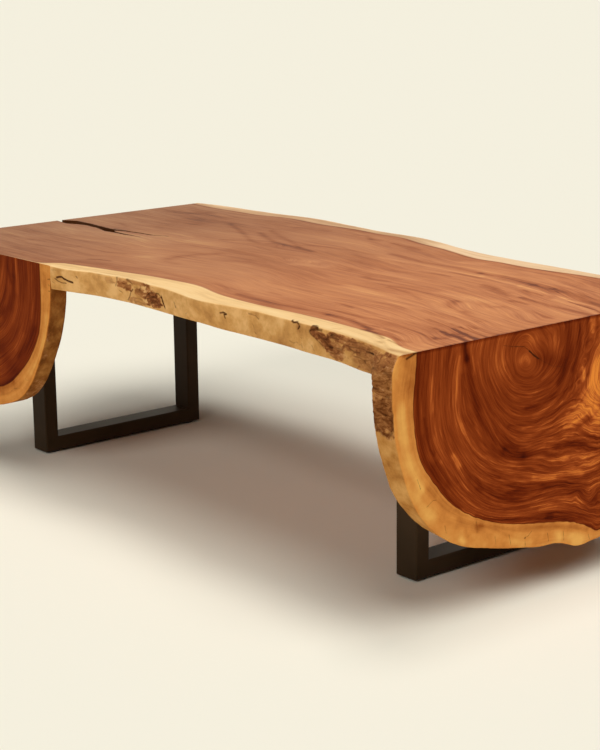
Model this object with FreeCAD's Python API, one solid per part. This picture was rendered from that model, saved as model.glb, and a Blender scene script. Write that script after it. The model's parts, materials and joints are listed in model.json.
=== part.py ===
"""Low live edge table: a slab top mitred into a half-round end panel and a
half-round front panel, carried by two welded steel frames on levelling feet.

X runs along the table, Y across it with the front at -Y, Z up from the floor.
The origin is on the floor, under the middle of the table's outline.
All lengths are millimetres.
"""
import FreeCAD, Part
import math
import os

from FreeCAD import Vector

os.makedirs("parts", exist_ok=True)

# Overall size
length = 1476.0
width = 803.0
height = 450.0

# Slab top
slab_thickness = 46.0

# Right end panel, a half round that fills the whole right end
right_panel_thickness = 48.0
right_panel_drop = 386.0
right_panel_lift = 10.0

# Front panel, a half round below the straight cut at the front left
front_panel_width = 470.5
front_panel_thickness = 40.0
front_panel_drop = 315.0
front_panel_lift = 2.0

# Split in the left end of the slab
crack_length = 336.0
crack_width = 36.0
crack_offset = -12.0
crack_bottom_share = 0.45

# Loose tenons glued across both mitres
tenon_width = 50.0
tenon_thickness = 10.0
tenon_end_margin = 70.0
right_tenon_count = 7
right_tenon_depth = 20.0
front_tenon_count = 4
front_tenon_depth = 18.0
tenon_side_clearance = 0.1
tenon_end_clearance = 0.5
tenon_place_share = 0.4

# Steel frames of rectangular tube
tube_width = 50.0
tube_depth = 30.0
tube_wall = 2.0
tube_corner = 3.0
frame_width = 400.0
plate_thickness = 6.0
left_frame_inset = 161.5
left_frame_shift = -6.5
right_frame_inset = 179.5
right_frame_shift = 19.5

# Bolts through the frame's top plate into inserts in the slab
bolt_radius = 4.0
bolt_length = 25.0
bolt_head_radius = 7.0
bolt_head_height = 4.4
bolt_socket_radius = 2.5
bolt_socket_depth = 2.5
bolt_post_gap = 30.0
washer_radius = 12.0
washer_thickness = 1.6
slot_width = 9.0
slot_length = 16.0
insert_radius = 6.5
insert_length = 20.0
insert_flange_radius = 8.5
insert_flange_thickness = 1.5
fastener_clearance = 0.1

# Levelling feet
foot_lift = 4.0
foot_inset = 25.0
foot_travel = 8.0
pad_radius = 19.0
pad_floor = 1.0
pad_bevel = 0.8
seat_clearance = 0.3
stud_radius = 4.0
stud_head_radius = 8.0
thread_clearance = 0.06
nut_radius = 5.5
nut_height = 14.0
nut_flange_radius = 7.0
nut_flange_thickness = 1.0
nut_collar_radius = 7.2
nut_collar_height = 3.0

# How far a cutting tool runs past what it cuts
overrun = 5.0

# Outline of the top: along as a share of the run, then the depth from the middle
# line at the top, at mid thickness and at the underside, as shares of half the
# width. The near edge runs from the straight cut to the right end.
near_edge_shares = (
    (0.066, 0.846, 0.838, 0.822),
    (0.105, 0.815, 0.812, 0.800),
    (0.154, 0.803, 0.799, 0.787),
    (0.208, 0.785, 0.787, 0.782),
    (0.290, 0.799, 0.800, 0.793),
    (0.357, 0.817, 0.816, 0.806),
    (0.459, 0.858, 0.845, 0.822),
    (0.510, 0.850, 0.845, 0.832),
    (0.573, 0.833, 0.838, 0.834),
    (0.660, 0.840, 0.844, 0.841),
    (0.743, 0.849, 0.858, 0.859),
    (0.826, 0.867, 0.877, 0.879),
    (0.902, 0.903, 0.911, 0.918),
    (0.926, 0.917, 0.930, 0.938),
    (0.948, 0.932, 0.966, 0.990),
    (0.970, 0.950, 0.984, 1.000),
)

# The far edge runs from the left end to the right end
far_edge_shares = (
    (0.043, 0.938, 0.941, 0.915),
    (0.090, 0.950, 0.955, 0.928),
    (0.136, 0.955, 0.963, 0.938),
    (0.182, 0.968, 0.974, 0.950),
    (0.262, 1.000, 0.998, 0.975),
    (0.311, 0.984, 0.986, 0.962),
    (0.359, 0.967, 0.972, 0.945),
    (0.406, 0.953, 0.960, 0.934),
    (0.475, 0.957, 0.961, 0.938),
    (0.532, 0.928, 0.936, 0.915),
    (0.585, 0.876, 0.886, 0.866),
    (0.671, 0.829, 0.838, 0.812),
    (0.741, 0.822, 0.828, 0.801),
    (0.809, 0.815, 0.822, 0.796),
    (0.907, 0.810, 0.818, 0.800),
    (0.961, 0.822, 0.840, 0.842),
)

# Depths of the top's corners from its middle line, as shares of half the width,
# at the top, at mid thickness and at the underside
left_far_shares = (0.910, 0.913, 0.888)
right_near_shares = (0.961, 0.992, 1.000)
right_far_shares = (0.837, 0.849, 0.852)
front_cut_share = 0.858

# Outline of the right end panel from its near top corner round to its far one:
# across as a share of half the width, down as a share of the panel's drop
right_panel_shares = (
    (-0.988, 0.041),
    (-1.000, 0.130),
    (-0.997, 0.220),
    (-0.981, 0.350),
    (-0.938, 0.500),
    (-0.880, 0.630),
    (-0.800, 0.727),
    (-0.706, 0.803),
    (-0.572, 0.861),
    (-0.355, 0.913),
    (-0.250, 0.935),
    (-0.185, 0.948),
    (-0.119, 0.951),
    (-0.065, 0.961),
    (-0.024, 0.976),
    (0.017, 0.993),
    (0.060, 1.000),
    (0.115, 0.995),
    (0.174, 0.990),
    (0.240, 0.978),
    (0.340, 0.952),
    (0.485, 0.893),
    (0.620, 0.803),
    (0.725, 0.685),
    (0.795, 0.540),
    (0.838, 0.360),
    (0.852, 0.180),
)

# Outline of the front panel from its right top corner round to its left one:
# across as a share of half its width, down as a share of its drop
front_panel_shares = (
    (0.984, 0.149),
    (0.966, 0.263),
    (0.892, 0.451),
    (0.752, 0.644),
    (0.560, 0.830),
    (0.350, 0.930),
    (0.120, 0.981),
    (-0.020, 1.000),
    (-0.180, 0.978),
    (-0.400, 0.905),
    (-0.590, 0.805),
    (-0.770, 0.640),
    (-0.895, 0.450),
    (-0.970, 0.270),
    (-0.990, 0.140),
)

# Outline of the split: along as a share of its length from the left end,
# across as a share of its width
crack_shares = (
    (0.000, 0.060),
    (0.098, 0.514),
    (0.250, 0.486),
    (0.420, 0.319),
    (0.548, 0.208),
    (0.682, 0.430),
    (0.800, 0.570),
    (0.911, 0.625),
    (1.000, 0.944),
    (0.905, 0.500),
    (0.800, 0.440),
    (0.680, 0.270),
    (0.600, -0.020),
    (0.660, -0.270),
    (0.780, -0.340),
    (0.920, -0.290),
    (0.780, -0.450),
    (0.660, -0.430),
    (0.580, -0.514),
    (0.438, -0.153),
    (0.304, -0.042),
    (0.211, -0.208),
    (0.146, -0.514),
    (0.000, -0.278),
)

# Places worked out from the sizes above
left_end = -length / 2
right_end = length / 2
half_width = width / 2
slab_bottom = height - slab_thickness
plate_bottom = slab_bottom - plate_thickness
front_panel_middle = left_end + front_panel_width / 2
front_panel_end = left_end + front_panel_width
front_cut_depth = front_cut_share * half_width
right_near_depth = right_near_shares[0] * half_width
right_far_depth = right_far_shares[0] * half_width
slot_radius = slot_width / 2
outer_bolt = frame_width / 2 - tube_depth - bolt_post_gap


def save(node, shape):
    shape.exportStep(os.path.join("parts", node + ".step"))


def spline(points):
    curve = Part.BSplineCurve()
    curve.interpolate(points)
    return curve.toShape()


def turned(profile):
    """A solid of revolution about Z from (radius, height) corners."""
    wire = Part.makePolygon([Vector(r, 0, z) for r, z in profile + profile[:1]])
    return Part.Face(wire).revolve(Vector(0, 0, 0), Vector(0, 0, 1), 360)


def placed(shape, x, y, z=0.0):
    copy = shape.copy()
    copy.translate(Vector(x, y, z))
    return copy


def prism(points, along):
    """A closed outline of points, pushed along a vector."""
    return Part.Face(Part.makePolygon(points + points[:1])).extrude(along)


def fuse_all(shapes):
    return shapes[0].multiFuse(shapes[1:]) if len(shapes) > 1 else shapes[0]


def loose_tenon(middle, along, normal, depth, side_gap=0.0, end_gap=0.0):
    """A round-edged tongue across a mitre: along runs down the joint, normal
    crosses it, and depth is how far the tongue goes into each board."""
    across = normal.cross(along)
    radius = tenon_thickness / 2 + side_gap
    straight = tenon_width / 2 - tenon_thickness / 2
    start = middle - normal * (depth + end_gap)
    corners = [start + along * a + across * b for a, b in (
        (-straight, -radius), (straight, -radius), (straight, radius), (-straight, radius))]
    right_tip = start + along * (straight + radius)
    left_tip = start - along * (straight + radius)
    outline = Part.Wire([
        Part.LineSegment(corners[0], corners[1]).toShape(),
        Part.Arc(corners[1], right_tip, corners[2]).toShape(),
        Part.LineSegment(corners[2], corners[3]).toShape(),
        Part.Arc(corners[3], left_tip, corners[0]).toShape(),
    ])
    return Part.Face(outline).extrude(normal * (2 * (depth + end_gap)))


def mitre_wedge(outer, inner, into, run, start):
    """The space on one side of a mitre face. outer and inner are the two
    arrises, into points to the side that is taken, run is along the joint."""
    slope = inner - outer
    slope.normalize()
    side = into - slope * into.dot(slope)
    side.normalize()
    reach = 2 * (slab_thickness + overrun)
    first = outer - slope * overrun + start
    last = inner + slope * overrun + start
    return prism([first, last, last + side * reach, first + side * reach], run)


def slab_blank():
    """The top with its live edges, before the mitres and the split are cut."""
    run = right_end - front_panel_end
    levels = (height, height - slab_thickness / 2, slab_bottom)

    def outline(level):
        z = levels[level]
        cut_start = Vector(left_end, -front_cut_depth, z)
        near = [Vector(front_panel_end, -front_cut_depth, z)]
        for along, *shares in near_edge_shares:
            near.append(Vector(front_panel_end + along * run, -shares[level] * half_width, z))
        near.append(Vector(right_end, -right_near_shares[level] * half_width, z))
        far = [Vector(right_end, right_far_shares[level] * half_width, z)]
        for along, *shares in far_edge_shares[::-1]:
            far.append(Vector(left_end + along * length, shares[level] * half_width, z))
        far.append(Vector(left_end, left_far_shares[level] * half_width, z))
        return Part.Wire([
            Part.LineSegment(cut_start, near[0]).toShape(),
            spline(near),
            Part.LineSegment(near[-1], far[0]).toShape(),
            spline(far),
            Part.LineSegment(far[-1], cut_start).toShape(),
        ])

    return Part.makeLoft([outline(level) for level in (2, 1, 0)], True, True)


def crack_tool():
    """The split, open at the left end and narrower at the underside."""
    def outline(z, spread):
        points = []
        for along, across in crack_shares:
            x = left_end + along * crack_length
            if along == 0:
                x = left_end - overrun
            points.append(Vector(x, crack_offset + across * crack_width * spread, z))
        return Part.makePolygon(points + points[:1])

    bottom = outline(slab_bottom - overrun, crack_bottom_share)
    return Part.makeLoft([bottom, outline(height + overrun, 1.0)], True, True)


def panel_blank(corners, shares, half, drop, lift, place):
    """A half-round panel as a loft from its outer face to its inner face, which
    ends a little higher. place turns a distance across, a height and a face
    number into a point."""
    def outline(face):
        reach = drop - face * lift
        points = [place(corners[0], height, face)]
        for across, down in shares:
            points.append(place(across * half, height - down * reach, face))
        points.append(place(corners[1], height, face))
        top_edge = Part.LineSegment(points[-1], points[0]).toShape()
        return Part.Wire([spline(points), top_edge])

    return Part.makeLoft([outline(0), outline(1)], True, True)


def right_panel_place(across, z, face):
    return Vector(right_end - face * right_panel_thickness, across, z)


def front_panel_place(across, z, face):
    y = -front_cut_depth + face * front_panel_thickness
    return Vector(front_panel_middle + across, y, z)


def wooden_pieces():
    slab = slab_blank()
    right_panel = panel_blank((-right_near_depth, right_far_depth), right_panel_shares,
                              half_width, right_panel_drop, right_panel_lift,
                              right_panel_place)
    front_half = front_panel_width / 2
    front_panel = panel_blank((front_half, -front_half), front_panel_shares,
                              front_half, front_panel_drop, front_panel_lift,
                              front_panel_place)

    # Right mitre, from the top arris to the inner corner
    right_outer = Vector(right_end, 0, height)
    right_inner = Vector(right_end - right_panel_thickness, 0, slab_bottom)
    right_run = Vector(0, width + 2 * overrun, 0)
    right_start = Vector(0, -half_width - overrun, 0)
    slab = slab.cut(mitre_wedge(right_outer, right_inner, Vector(1, 0, -1),
                                right_run, right_start))
    right_panel = right_panel.cut(mitre_wedge(right_outer, right_inner, Vector(-1, 0, 1),
                                              right_run, right_start))

    # Front mitre, which stops where the front panel's live edge starts
    front_outer = Vector(0, -front_cut_depth, height)
    front_inner = Vector(0, front_panel_thickness - front_cut_depth, slab_bottom)
    front_run = Vector(front_panel_width + 2 * overrun, 0, 0)
    front_start = Vector(left_end - overrun, 0, 0)
    below = mitre_wedge(front_outer, front_inner, Vector(0, -1, -1), front_run, front_start)
    above = mitre_wedge(front_outer, front_inner, Vector(0, 1, 1), front_run, front_start)
    slab = slab.cut(front_panel.common(below))
    front_panel = front_panel.cut(above)

    slab = slab.cut(crack_tool())
    right_joint = joint_tenons(right_outer, right_inner, Vector(0, 1, 0), right_tenon_depth,
                               evenly(-right_near_depth, right_far_depth, right_tenon_count))
    front_joint = joint_tenons(front_outer, front_inner, Vector(1, 0, 0), front_tenon_depth,
                               evenly(left_end, front_panel_end, front_tenon_count))
    slab = slab.cut(right_joint[1] + front_joint[1])
    right_panel = right_panel.cut(right_joint[1])
    front_panel = front_panel.cut(front_joint[1])
    return slab, right_panel, front_panel, right_joint[0], front_joint[0]


def evenly(low, high, count):
    """Places of the tenons along a joint, a margin in from both ends."""
    first = low + tenon_end_margin
    last = high - tenon_end_margin
    return [first + (last - first) * i / (count - 1) for i in range(count)]


def joint_tenons(outer, inner, along, depth, places):
    """The tenons of one mitre and the mortises that hold them."""
    slope = outer - inner
    normal = slope.cross(along)
    normal.normalize()
    on_face = inner + slope * tenon_place_share
    tenons = []
    mortises = []
    for place in places:
        middle = on_face + along * place
        tenons.append(loose_tenon(middle, along, normal, depth))
        mortises.append(loose_tenon(middle, along, normal, depth,
                                    tenon_side_clearance, tenon_end_clearance))
    return tenons, mortises


def tube_blank(tube_length):
    """A rectangular tube along Z, standing on the origin."""
    def section(w, d, radius):
        a = w / 2
        b = d / 2
        outline = Part.makePolygon([Vector(x, y, 0) for x, y in (
            (-a, -b), (a, -b), (a, b), (-a, b), (-a, -b))])
        block = Part.Face(outline).extrude(Vector(0, 0, tube_length))
        upright = [e for e in block.Edges if abs(e.tangentAt(e.FirstParameter).z) > 0.5]
        return block.makeFillet(radius, upright)

    outside = section(tube_width, tube_depth, tube_corner)
    inside = section(tube_width - 2 * tube_wall, tube_depth - 2 * tube_wall,
                     tube_corner - tube_wall)
    return outside.cut(inside)


def frame_pieces(middle_x, middle_y):
    """The welded members of one frame: two posts, a floor rail, a top plate."""
    front = middle_y - frame_width / 2
    rear = middle_y + frame_width / 2
    rail_bottom = foot_lift
    corner = Vector(0, front, rail_bottom)
    inner_corner = Vector(0, front + tube_depth, rail_bottom + tube_depth)
    run = Vector(tube_width + 2 * overrun, 0, 0)
    start = Vector(middle_x - tube_width / 2 - overrun, 0, 0)
    centre = Vector(middle_x, middle_y, 0)
    across = Vector(0, 1, 0)

    post = placed(tube_blank(plate_bottom - rail_bottom),
                  middle_x, front + tube_depth / 2, rail_bottom)
    post = post.cut(mitre_wedge(corner, inner_corner, Vector(0, 1, -1), run, start))
    front_post = post
    rear_post = post.mirror(centre, across)

    rail = tube_blank(frame_width)
    rail.rotate(Vector(0, 0, 0), Vector(1, 0, 0), -90)
    rail = placed(rail, middle_x, front, rail_bottom + tube_depth / 2)
    end_cut = mitre_wedge(corner, inner_corner, Vector(0, -1, 1), run, start)
    rail = rail.cut([end_cut, end_cut.mirror(centre, across)])
    hole = Part.makeCylinder(nut_radius + fastener_clearance, tube_wall + 2 * overrun,
                             Vector(0, 0, -overrun))
    rail = rail.cut([placed(hole, middle_x, y, rail_bottom)
                     for y in (front + foot_inset, rear - foot_inset)])

    plate = Part.makeBox(tube_width, frame_width, plate_thickness,
                         Vector(middle_x - tube_width / 2, front, plate_bottom))
    plate = plate.cut([slot(middle_x, y) for y in bolt_places(middle_y)])
    return front_post, rear_post, rail, plate


def bolt_places(middle_y):
    return [middle_y + share * outer_bolt for share in (-1, -0.5, 0.5, 1)]


def slot(x, y):
    """A slotted hole across the grain, through the top plate."""
    straight = slot_length / 2 - slot_radius
    depth = plate_thickness + 2 * overrun
    bottom = plate_bottom - overrun
    ends = [Part.makeCylinder(slot_radius, depth, Vector(x, y + side * straight, bottom))
            for side in (-1, 1)]
    middle = Part.makeBox(2 * slot_radius, 2 * straight, depth,
                          Vector(x - slot_radius, y - straight, bottom))
    return fuse_all([middle] + ends)


def frame_bolt():
    """A button head bolt, pointing up, with the underside of its head at zero."""
    head_top = bolt_head_radius - bolt_head_height / 2
    bolt = turned([
        (0, -bolt_head_height), (head_top - bolt_head_height / 2, -bolt_head_height),
        (head_top + bolt_head_height / 4, -bolt_head_height / 2),
        (bolt_head_radius, -bolt_head_height / 6), (bolt_head_radius, 0),
        (bolt_radius, 0), (bolt_radius, bolt_length), (0, bolt_length),
    ])
    corners = [Vector(bolt_socket_radius * math.cos(math.radians(60 * i)),
                      bolt_socket_radius * math.sin(math.radians(60 * i)),
                      -bolt_head_height - overrun) for i in range(6)]
    socket = prism(corners, Vector(0, 0, overrun + bolt_socket_depth))
    return bolt.cut(socket)


def washer():
    inner = bolt_radius + fastener_clearance
    return turned([(inner, 0), (washer_radius, 0),
                   (washer_radius, washer_thickness), (inner, washer_thickness)])


def slab_insert():
    """A flanged threaded insert, pressed up into the slab from its flange."""
    inner = bolt_radius + fastener_clearance
    return turned([
        (inner, 0), (insert_flange_radius, 0),
        (insert_flange_radius, insert_flange_thickness),
        (insert_radius, insert_flange_thickness),
        (insert_radius, insert_length), (inner, insert_length),
    ])


def insert_hole():
    """The stepped hole that holds an insert, with room for the bolt's end."""
    gap = fastener_clearance
    below = -overrun
    deepest = max(insert_length, bolt_length - washer_thickness - plate_thickness) + gap
    return turned([
        (0, below), (insert_flange_radius + gap, below),
        (insert_flange_radius + gap, insert_flange_thickness),
        (insert_radius + gap, insert_flange_thickness),
        (insert_radius + gap, deepest), (0, deepest),
    ])


def foot_nut():
    """A rivet nut: its flange under the rail, its collar set above the wall."""
    bore = stud_radius + thread_clearance
    return turned([
        (bore, -nut_flange_thickness), (nut_flange_radius, -nut_flange_thickness),
        (nut_flange_radius, 0), (nut_radius, 0), (nut_radius, tube_wall),
        (nut_collar_radius, tube_wall),
        (nut_collar_radius, tube_wall + nut_collar_height / 2),
        (nut_radius, tube_wall + nut_collar_height),
        (nut_radius, nut_height), (bore, nut_height),
    ])


def foot_stud():
    """The foot's threaded stud on its round head, standing on the pad's floor."""
    head_top = foot_lift - nut_flange_thickness - seat_clearance
    top = foot_lift + nut_height + foot_travel
    return turned([
        (0, pad_floor), (stud_head_radius, pad_floor), (stud_head_radius, head_top),
        (stud_radius, head_top), (stud_radius, top - pad_bevel),
        (stud_radius - pad_bevel, top), (0, top),
    ])


def foot_pad():
    """The round glide that stands on the floor, with a pocket for the stud's head."""
    top = foot_lift - seat_clearance
    pocket = stud_head_radius + fastener_clearance
    return turned([
        (0, 0), (pad_radius - pad_bevel, 0), (pad_radius, pad_bevel),
        (pad_radius, top - pad_bevel), (pad_radius - pad_bevel, top), (pocket, top),
        (pocket, pad_floor), (0, pad_floor),
    ])


slab, right_panel, front_panel, right_tenons, front_tenons = wooden_pieces()
frames = (
    ("left", left_end + left_frame_inset + tube_width / 2, left_frame_shift),
    ("right", right_end - right_frame_inset - tube_width / 2, right_frame_shift),
)
for side, middle_x, middle_y in frames:
    front_post, rear_post, rail, plate = frame_pieces(middle_x, middle_y)
    save(side + "_front_post", front_post)
    save(side + "_rear_post", rear_post)
    save(side + "_floor_rail", rail)
    save(side + "_top_plate", plate)

    bolt_spots = [(middle_x, y) for y in bolt_places(middle_y)]
    washer_bottom = plate_bottom - washer_thickness
    groups = (
        ("_frame_bolts", frame_bolt(), washer_bottom),
        ("_frame_washers", washer(), washer_bottom),
        ("_slab_inserts", slab_insert(), slab_bottom),
    )
    for name, fastener, z in groups:
        save(side + name, Part.makeCompound([placed(fastener, x, y, z) for x, y in bolt_spots]))
    slab = slab.cut([placed(insert_hole(), x, y, slab_bottom) for x, y in bolt_spots])

    foot_reach = frame_width / 2 - foot_inset
    feet = (("_front_foot", middle_y - foot_reach), ("_rear_foot", middle_y + foot_reach))
    nuts = [placed(foot_nut(), middle_x, y, foot_lift) for name, y in feet]
    save(side + "_foot_nuts", Part.makeCompound(nuts))
    for name, y in feet:
        save(side + name + "_stud", placed(foot_stud(), middle_x, y))
        save(side + name + "_pad", placed(foot_pad(), middle_x, y))

save("top_slab", slab)
save("right_end_panel", right_panel)
save("front_left_panel", front_panel)
save("right_joint_tenons", Part.makeCompound(right_tenons))
save("front_joint_tenons", Part.makeCompound(front_tenons))
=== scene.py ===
"""Live edge waterfall table: the wood, the finishes, the light and the camera,
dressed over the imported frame.

X runs along the table, Y across it with the front at -Y, Z up from the floor.
Tables are in millimetres and meshes are made in metres. A row that describes a
line has its own values first and then the line's places, two numbers each.
"""

import json
import math

import bpy
import numpy as np
from mathutils import Matrix, Vector, noise
from mathutils.geometry import delaunay_2d_cdt

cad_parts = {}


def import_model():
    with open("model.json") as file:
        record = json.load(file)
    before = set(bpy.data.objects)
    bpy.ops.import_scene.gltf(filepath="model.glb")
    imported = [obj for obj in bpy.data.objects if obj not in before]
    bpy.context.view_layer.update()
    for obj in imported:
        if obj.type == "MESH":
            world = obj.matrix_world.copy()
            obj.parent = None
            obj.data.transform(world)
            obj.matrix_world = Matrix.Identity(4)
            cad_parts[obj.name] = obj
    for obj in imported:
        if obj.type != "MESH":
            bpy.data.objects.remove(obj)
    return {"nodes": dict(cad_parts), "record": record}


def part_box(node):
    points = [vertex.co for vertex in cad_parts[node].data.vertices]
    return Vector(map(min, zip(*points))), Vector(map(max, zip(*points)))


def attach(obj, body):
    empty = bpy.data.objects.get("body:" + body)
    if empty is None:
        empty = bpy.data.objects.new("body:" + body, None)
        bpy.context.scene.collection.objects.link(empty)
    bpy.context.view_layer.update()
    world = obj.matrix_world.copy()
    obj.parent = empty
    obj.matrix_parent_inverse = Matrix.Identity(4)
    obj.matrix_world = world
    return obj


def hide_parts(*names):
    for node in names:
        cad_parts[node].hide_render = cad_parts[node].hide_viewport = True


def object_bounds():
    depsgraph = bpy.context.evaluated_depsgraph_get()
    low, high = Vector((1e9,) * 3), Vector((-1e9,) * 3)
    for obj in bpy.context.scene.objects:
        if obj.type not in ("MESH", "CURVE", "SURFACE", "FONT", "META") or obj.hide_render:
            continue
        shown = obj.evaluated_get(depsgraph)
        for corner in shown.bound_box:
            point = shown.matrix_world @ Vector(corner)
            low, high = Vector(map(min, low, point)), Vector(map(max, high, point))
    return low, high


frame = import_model()
cad_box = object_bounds()


def places(*numbers, columns=2):
    """A run of numbers as a table of places."""
    return np.reshape(np.array(numbers, float), (-1, columns))


# Sizes

MM = 0.001
LEFT = -738.0
RIGHT = 738.0
TOP = 450.0
SLAB = 46.0
UNDER = TOP - SLAB
HALF_WIDTH = 401.5

# The slab's right mitre and the one behind the front panel
RIGHT_THICKNESS = 48.0
FRONT_THICKNESS = 40.0
FRONT_FACE = -344.5
FRONT_END = -267.5
FRONT_MIDDLE = (LEFT + FRONT_END) / 2

# How much higher the back of each panel's lowest point lies than its face
RIGHT_LIFT = 10.0
FRONT_LIFT = 2.0

# Radii of the arrises, the fillet between the slab and the right panel, and the
# holes for the inserts: radius, depth, sides and places across from their middle
TOP_ROUND = 3.0
PANEL_ROUND = 3.2
UNDER_ROUND = 5.0
CORNER_FILLET = 14.0
FILLET_END = 0.999
INSERT_HOLE = 8.6
INSERT_DEPTH = 25.1
HOLE_SIDES = 24
INSERT_SHIFTS = (-140, -70, 70, 140)

# Live edges of the slab: x, then the distance from the middle line at the top,
# at mid thickness and at the underside
NEAR_EDGE = places(
    -267.5, 344.5, 344.5, 344.5, -201.1, 339.7, 336.5, 330, -161.9, 327.2, 326, 321.2,
    -112.7, 322.4, 320.8, 316, -58.4, 315.2, 316, 314, 24.1, 320.8, 321.2, 318.4,
    91.5, 328, 327.6, 323.6, 194, 344.5, 339.3, 330, 245.3, 341.3, 339.3, 334,
    308.7, 334.4, 336.5, 334.9, 396.1, 337.3, 338.9, 337.7, 479.6, 340.9, 344.5, 344.9,
    563, 348.1, 352.1, 352.9, 639.5, 362.6, 365.8, 368.6, 663.6, 368.2, 373.4, 376.6,
    685.7, 374.2, 387.8, 397.5, 707.8, 381.4, 395.1, 401.5, 738, 385.8, 398.3, 401.5,
    columns=4)
FAR_EDGE = places(
    -738, 365.4, 366.6, 356.5, -674.5, 376.6, 377.8, 367.4, -605.2, 381.4, 383.4, 372.6,
    -537.3, 383.4, 386.6, 376.6, -469.4, 388.7, 391.1, 381.4, -351.3, 401.5, 400.7, 391.5,
    -279, 395.1, 395.9, 386.2, -208.1, 388.3, 390.3, 379.4, -138.7, 382.6, 385.4, 375,
    -36.9, 384.2, 385.8, 376.6, 47.2, 372.6, 375.8, 367.4, 125.5, 351.7, 355.7, 347.7,
    252.4, 332.8, 336.5, 326, 355.7, 330, 332.4, 321.6, 456.1, 327.2, 330, 319.6,
    600.7, 325.2, 328.4, 321.2, 680.4, 330, 337.3, 338.1, 738, 336.1, 340.9, 342.1,
    columns=4)

# Outlines of the end panels: across and height
RIGHT_OUTLINE = places(
    -385.8, 450, -396.7, 434.2, -401.5, 399.8, -400.3, 365.1, -393.9, 314.9, -376.6, 257,
    -353.3, 206.8, -321.2, 169.4, -283.5, 140, -229.7, 117.7, -142.5, 97.6, -100.4, 89.1,
    -74.3, 84.1, -47.8, 82.9, -26.1, 79.1, -9.6, 73.3, 6.8, 66.7, 24.1, 64, 46.2, 65.9,
    69.9, 67.9, 96.4, 72.5, 136.5, 82.5, 194.7, 105.3, 248.9, 140, 291.1, 185.6, 319.2, 241.6,
    336.5, 311, 342.1, 380.5, 336.1, 450)
FRONT_OUTLINE = places(
    235.2, 450, 231.5, 403.1, 227.3, 367.2, 209.8, 307.9, 176.9, 247.1, 131.7, 188.6,
    82.3, 157.1, 28.2, 141, -4.7, 135, -42.3, 141.9, -94.1, 164.9, -138.8, 196.4,
    -181.1, 248.4, -210.5, 308.2, -228.2, 364.9, -232.9, 405.9, -235.2, 450)

# Split in the left end: x and offset from its middle, widest at the top
SPLIT_MIDDLE = -12.0
SPLIT_UNDER_SHARE = 0.49
SPLIT = places(
    -738, 2.2, -705.1, 18.5, -654, 17.5, -596.9, 11.5, -553.9, 7.5, -508.8, 15.5, -469.2, 20.5,
    -431.9, 22.5, -402, 34, -433.9, 18, -469.2, 15.8, -509.5, 9.7, -536.4, -0.7, -516.2, -9.7,
    -475.9, -12.2, -428.9, -10.4, -475.9, -16.2, -516.2, -15.5, -543.1, -18.5, -590.8, -5.5,
    -635.9, -1.5, -667.1, -7.5, -688.9, -18.5, -738, -10)


# Figure of the wood, drawn one by one

# Dark lines by the split's tips: strength, reach, places
SPLIT_TIPS = (
    (0.9, 2.4, -559, 3, -520, 4, -486, 3, -456, 5, -431, 7),
    (0.9, 2.4, -524, -21, -477, -23, -427, -23), (0.6, 2, -431, 7, -412, 13),
    (0.9, 2.6, -404, 22, -394, 23),
)

# Where the heartwood ends on the top: x and y, near and far. Left of HEART_START
# the near side has heartwood right up to the cut.
HEART_START = -318.0
HEART_CUT = -345.0
NEAR_HEART = places(
    -738, -345, -420, -345, -318, -345, -301, -338, -280, -318, -253, -308, -195, -297,
    -133, -287, -68, -275, 6, -268, 108, -271, 150, -283, 200, -293, 243, -297, 301, -299,
    394, -298, 488, -301, 560, -307, 610, -313, 646, -322, 675, -338, 695, -348, 738, -355)
FAR_HEART = places(
    -738, 350, -707, 346, -626, 340, -556, 343, -490, 345, -436, 358, -372, 361, -299, 355,
    -238, 358, -178, 361, -110, 355, -53, 357, 29, 335, 100, 321, 176, 300, 242, 287, 291, 290,
    346, 286, 439, 292, 527, 297, 640, 292, 738, 300)

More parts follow.
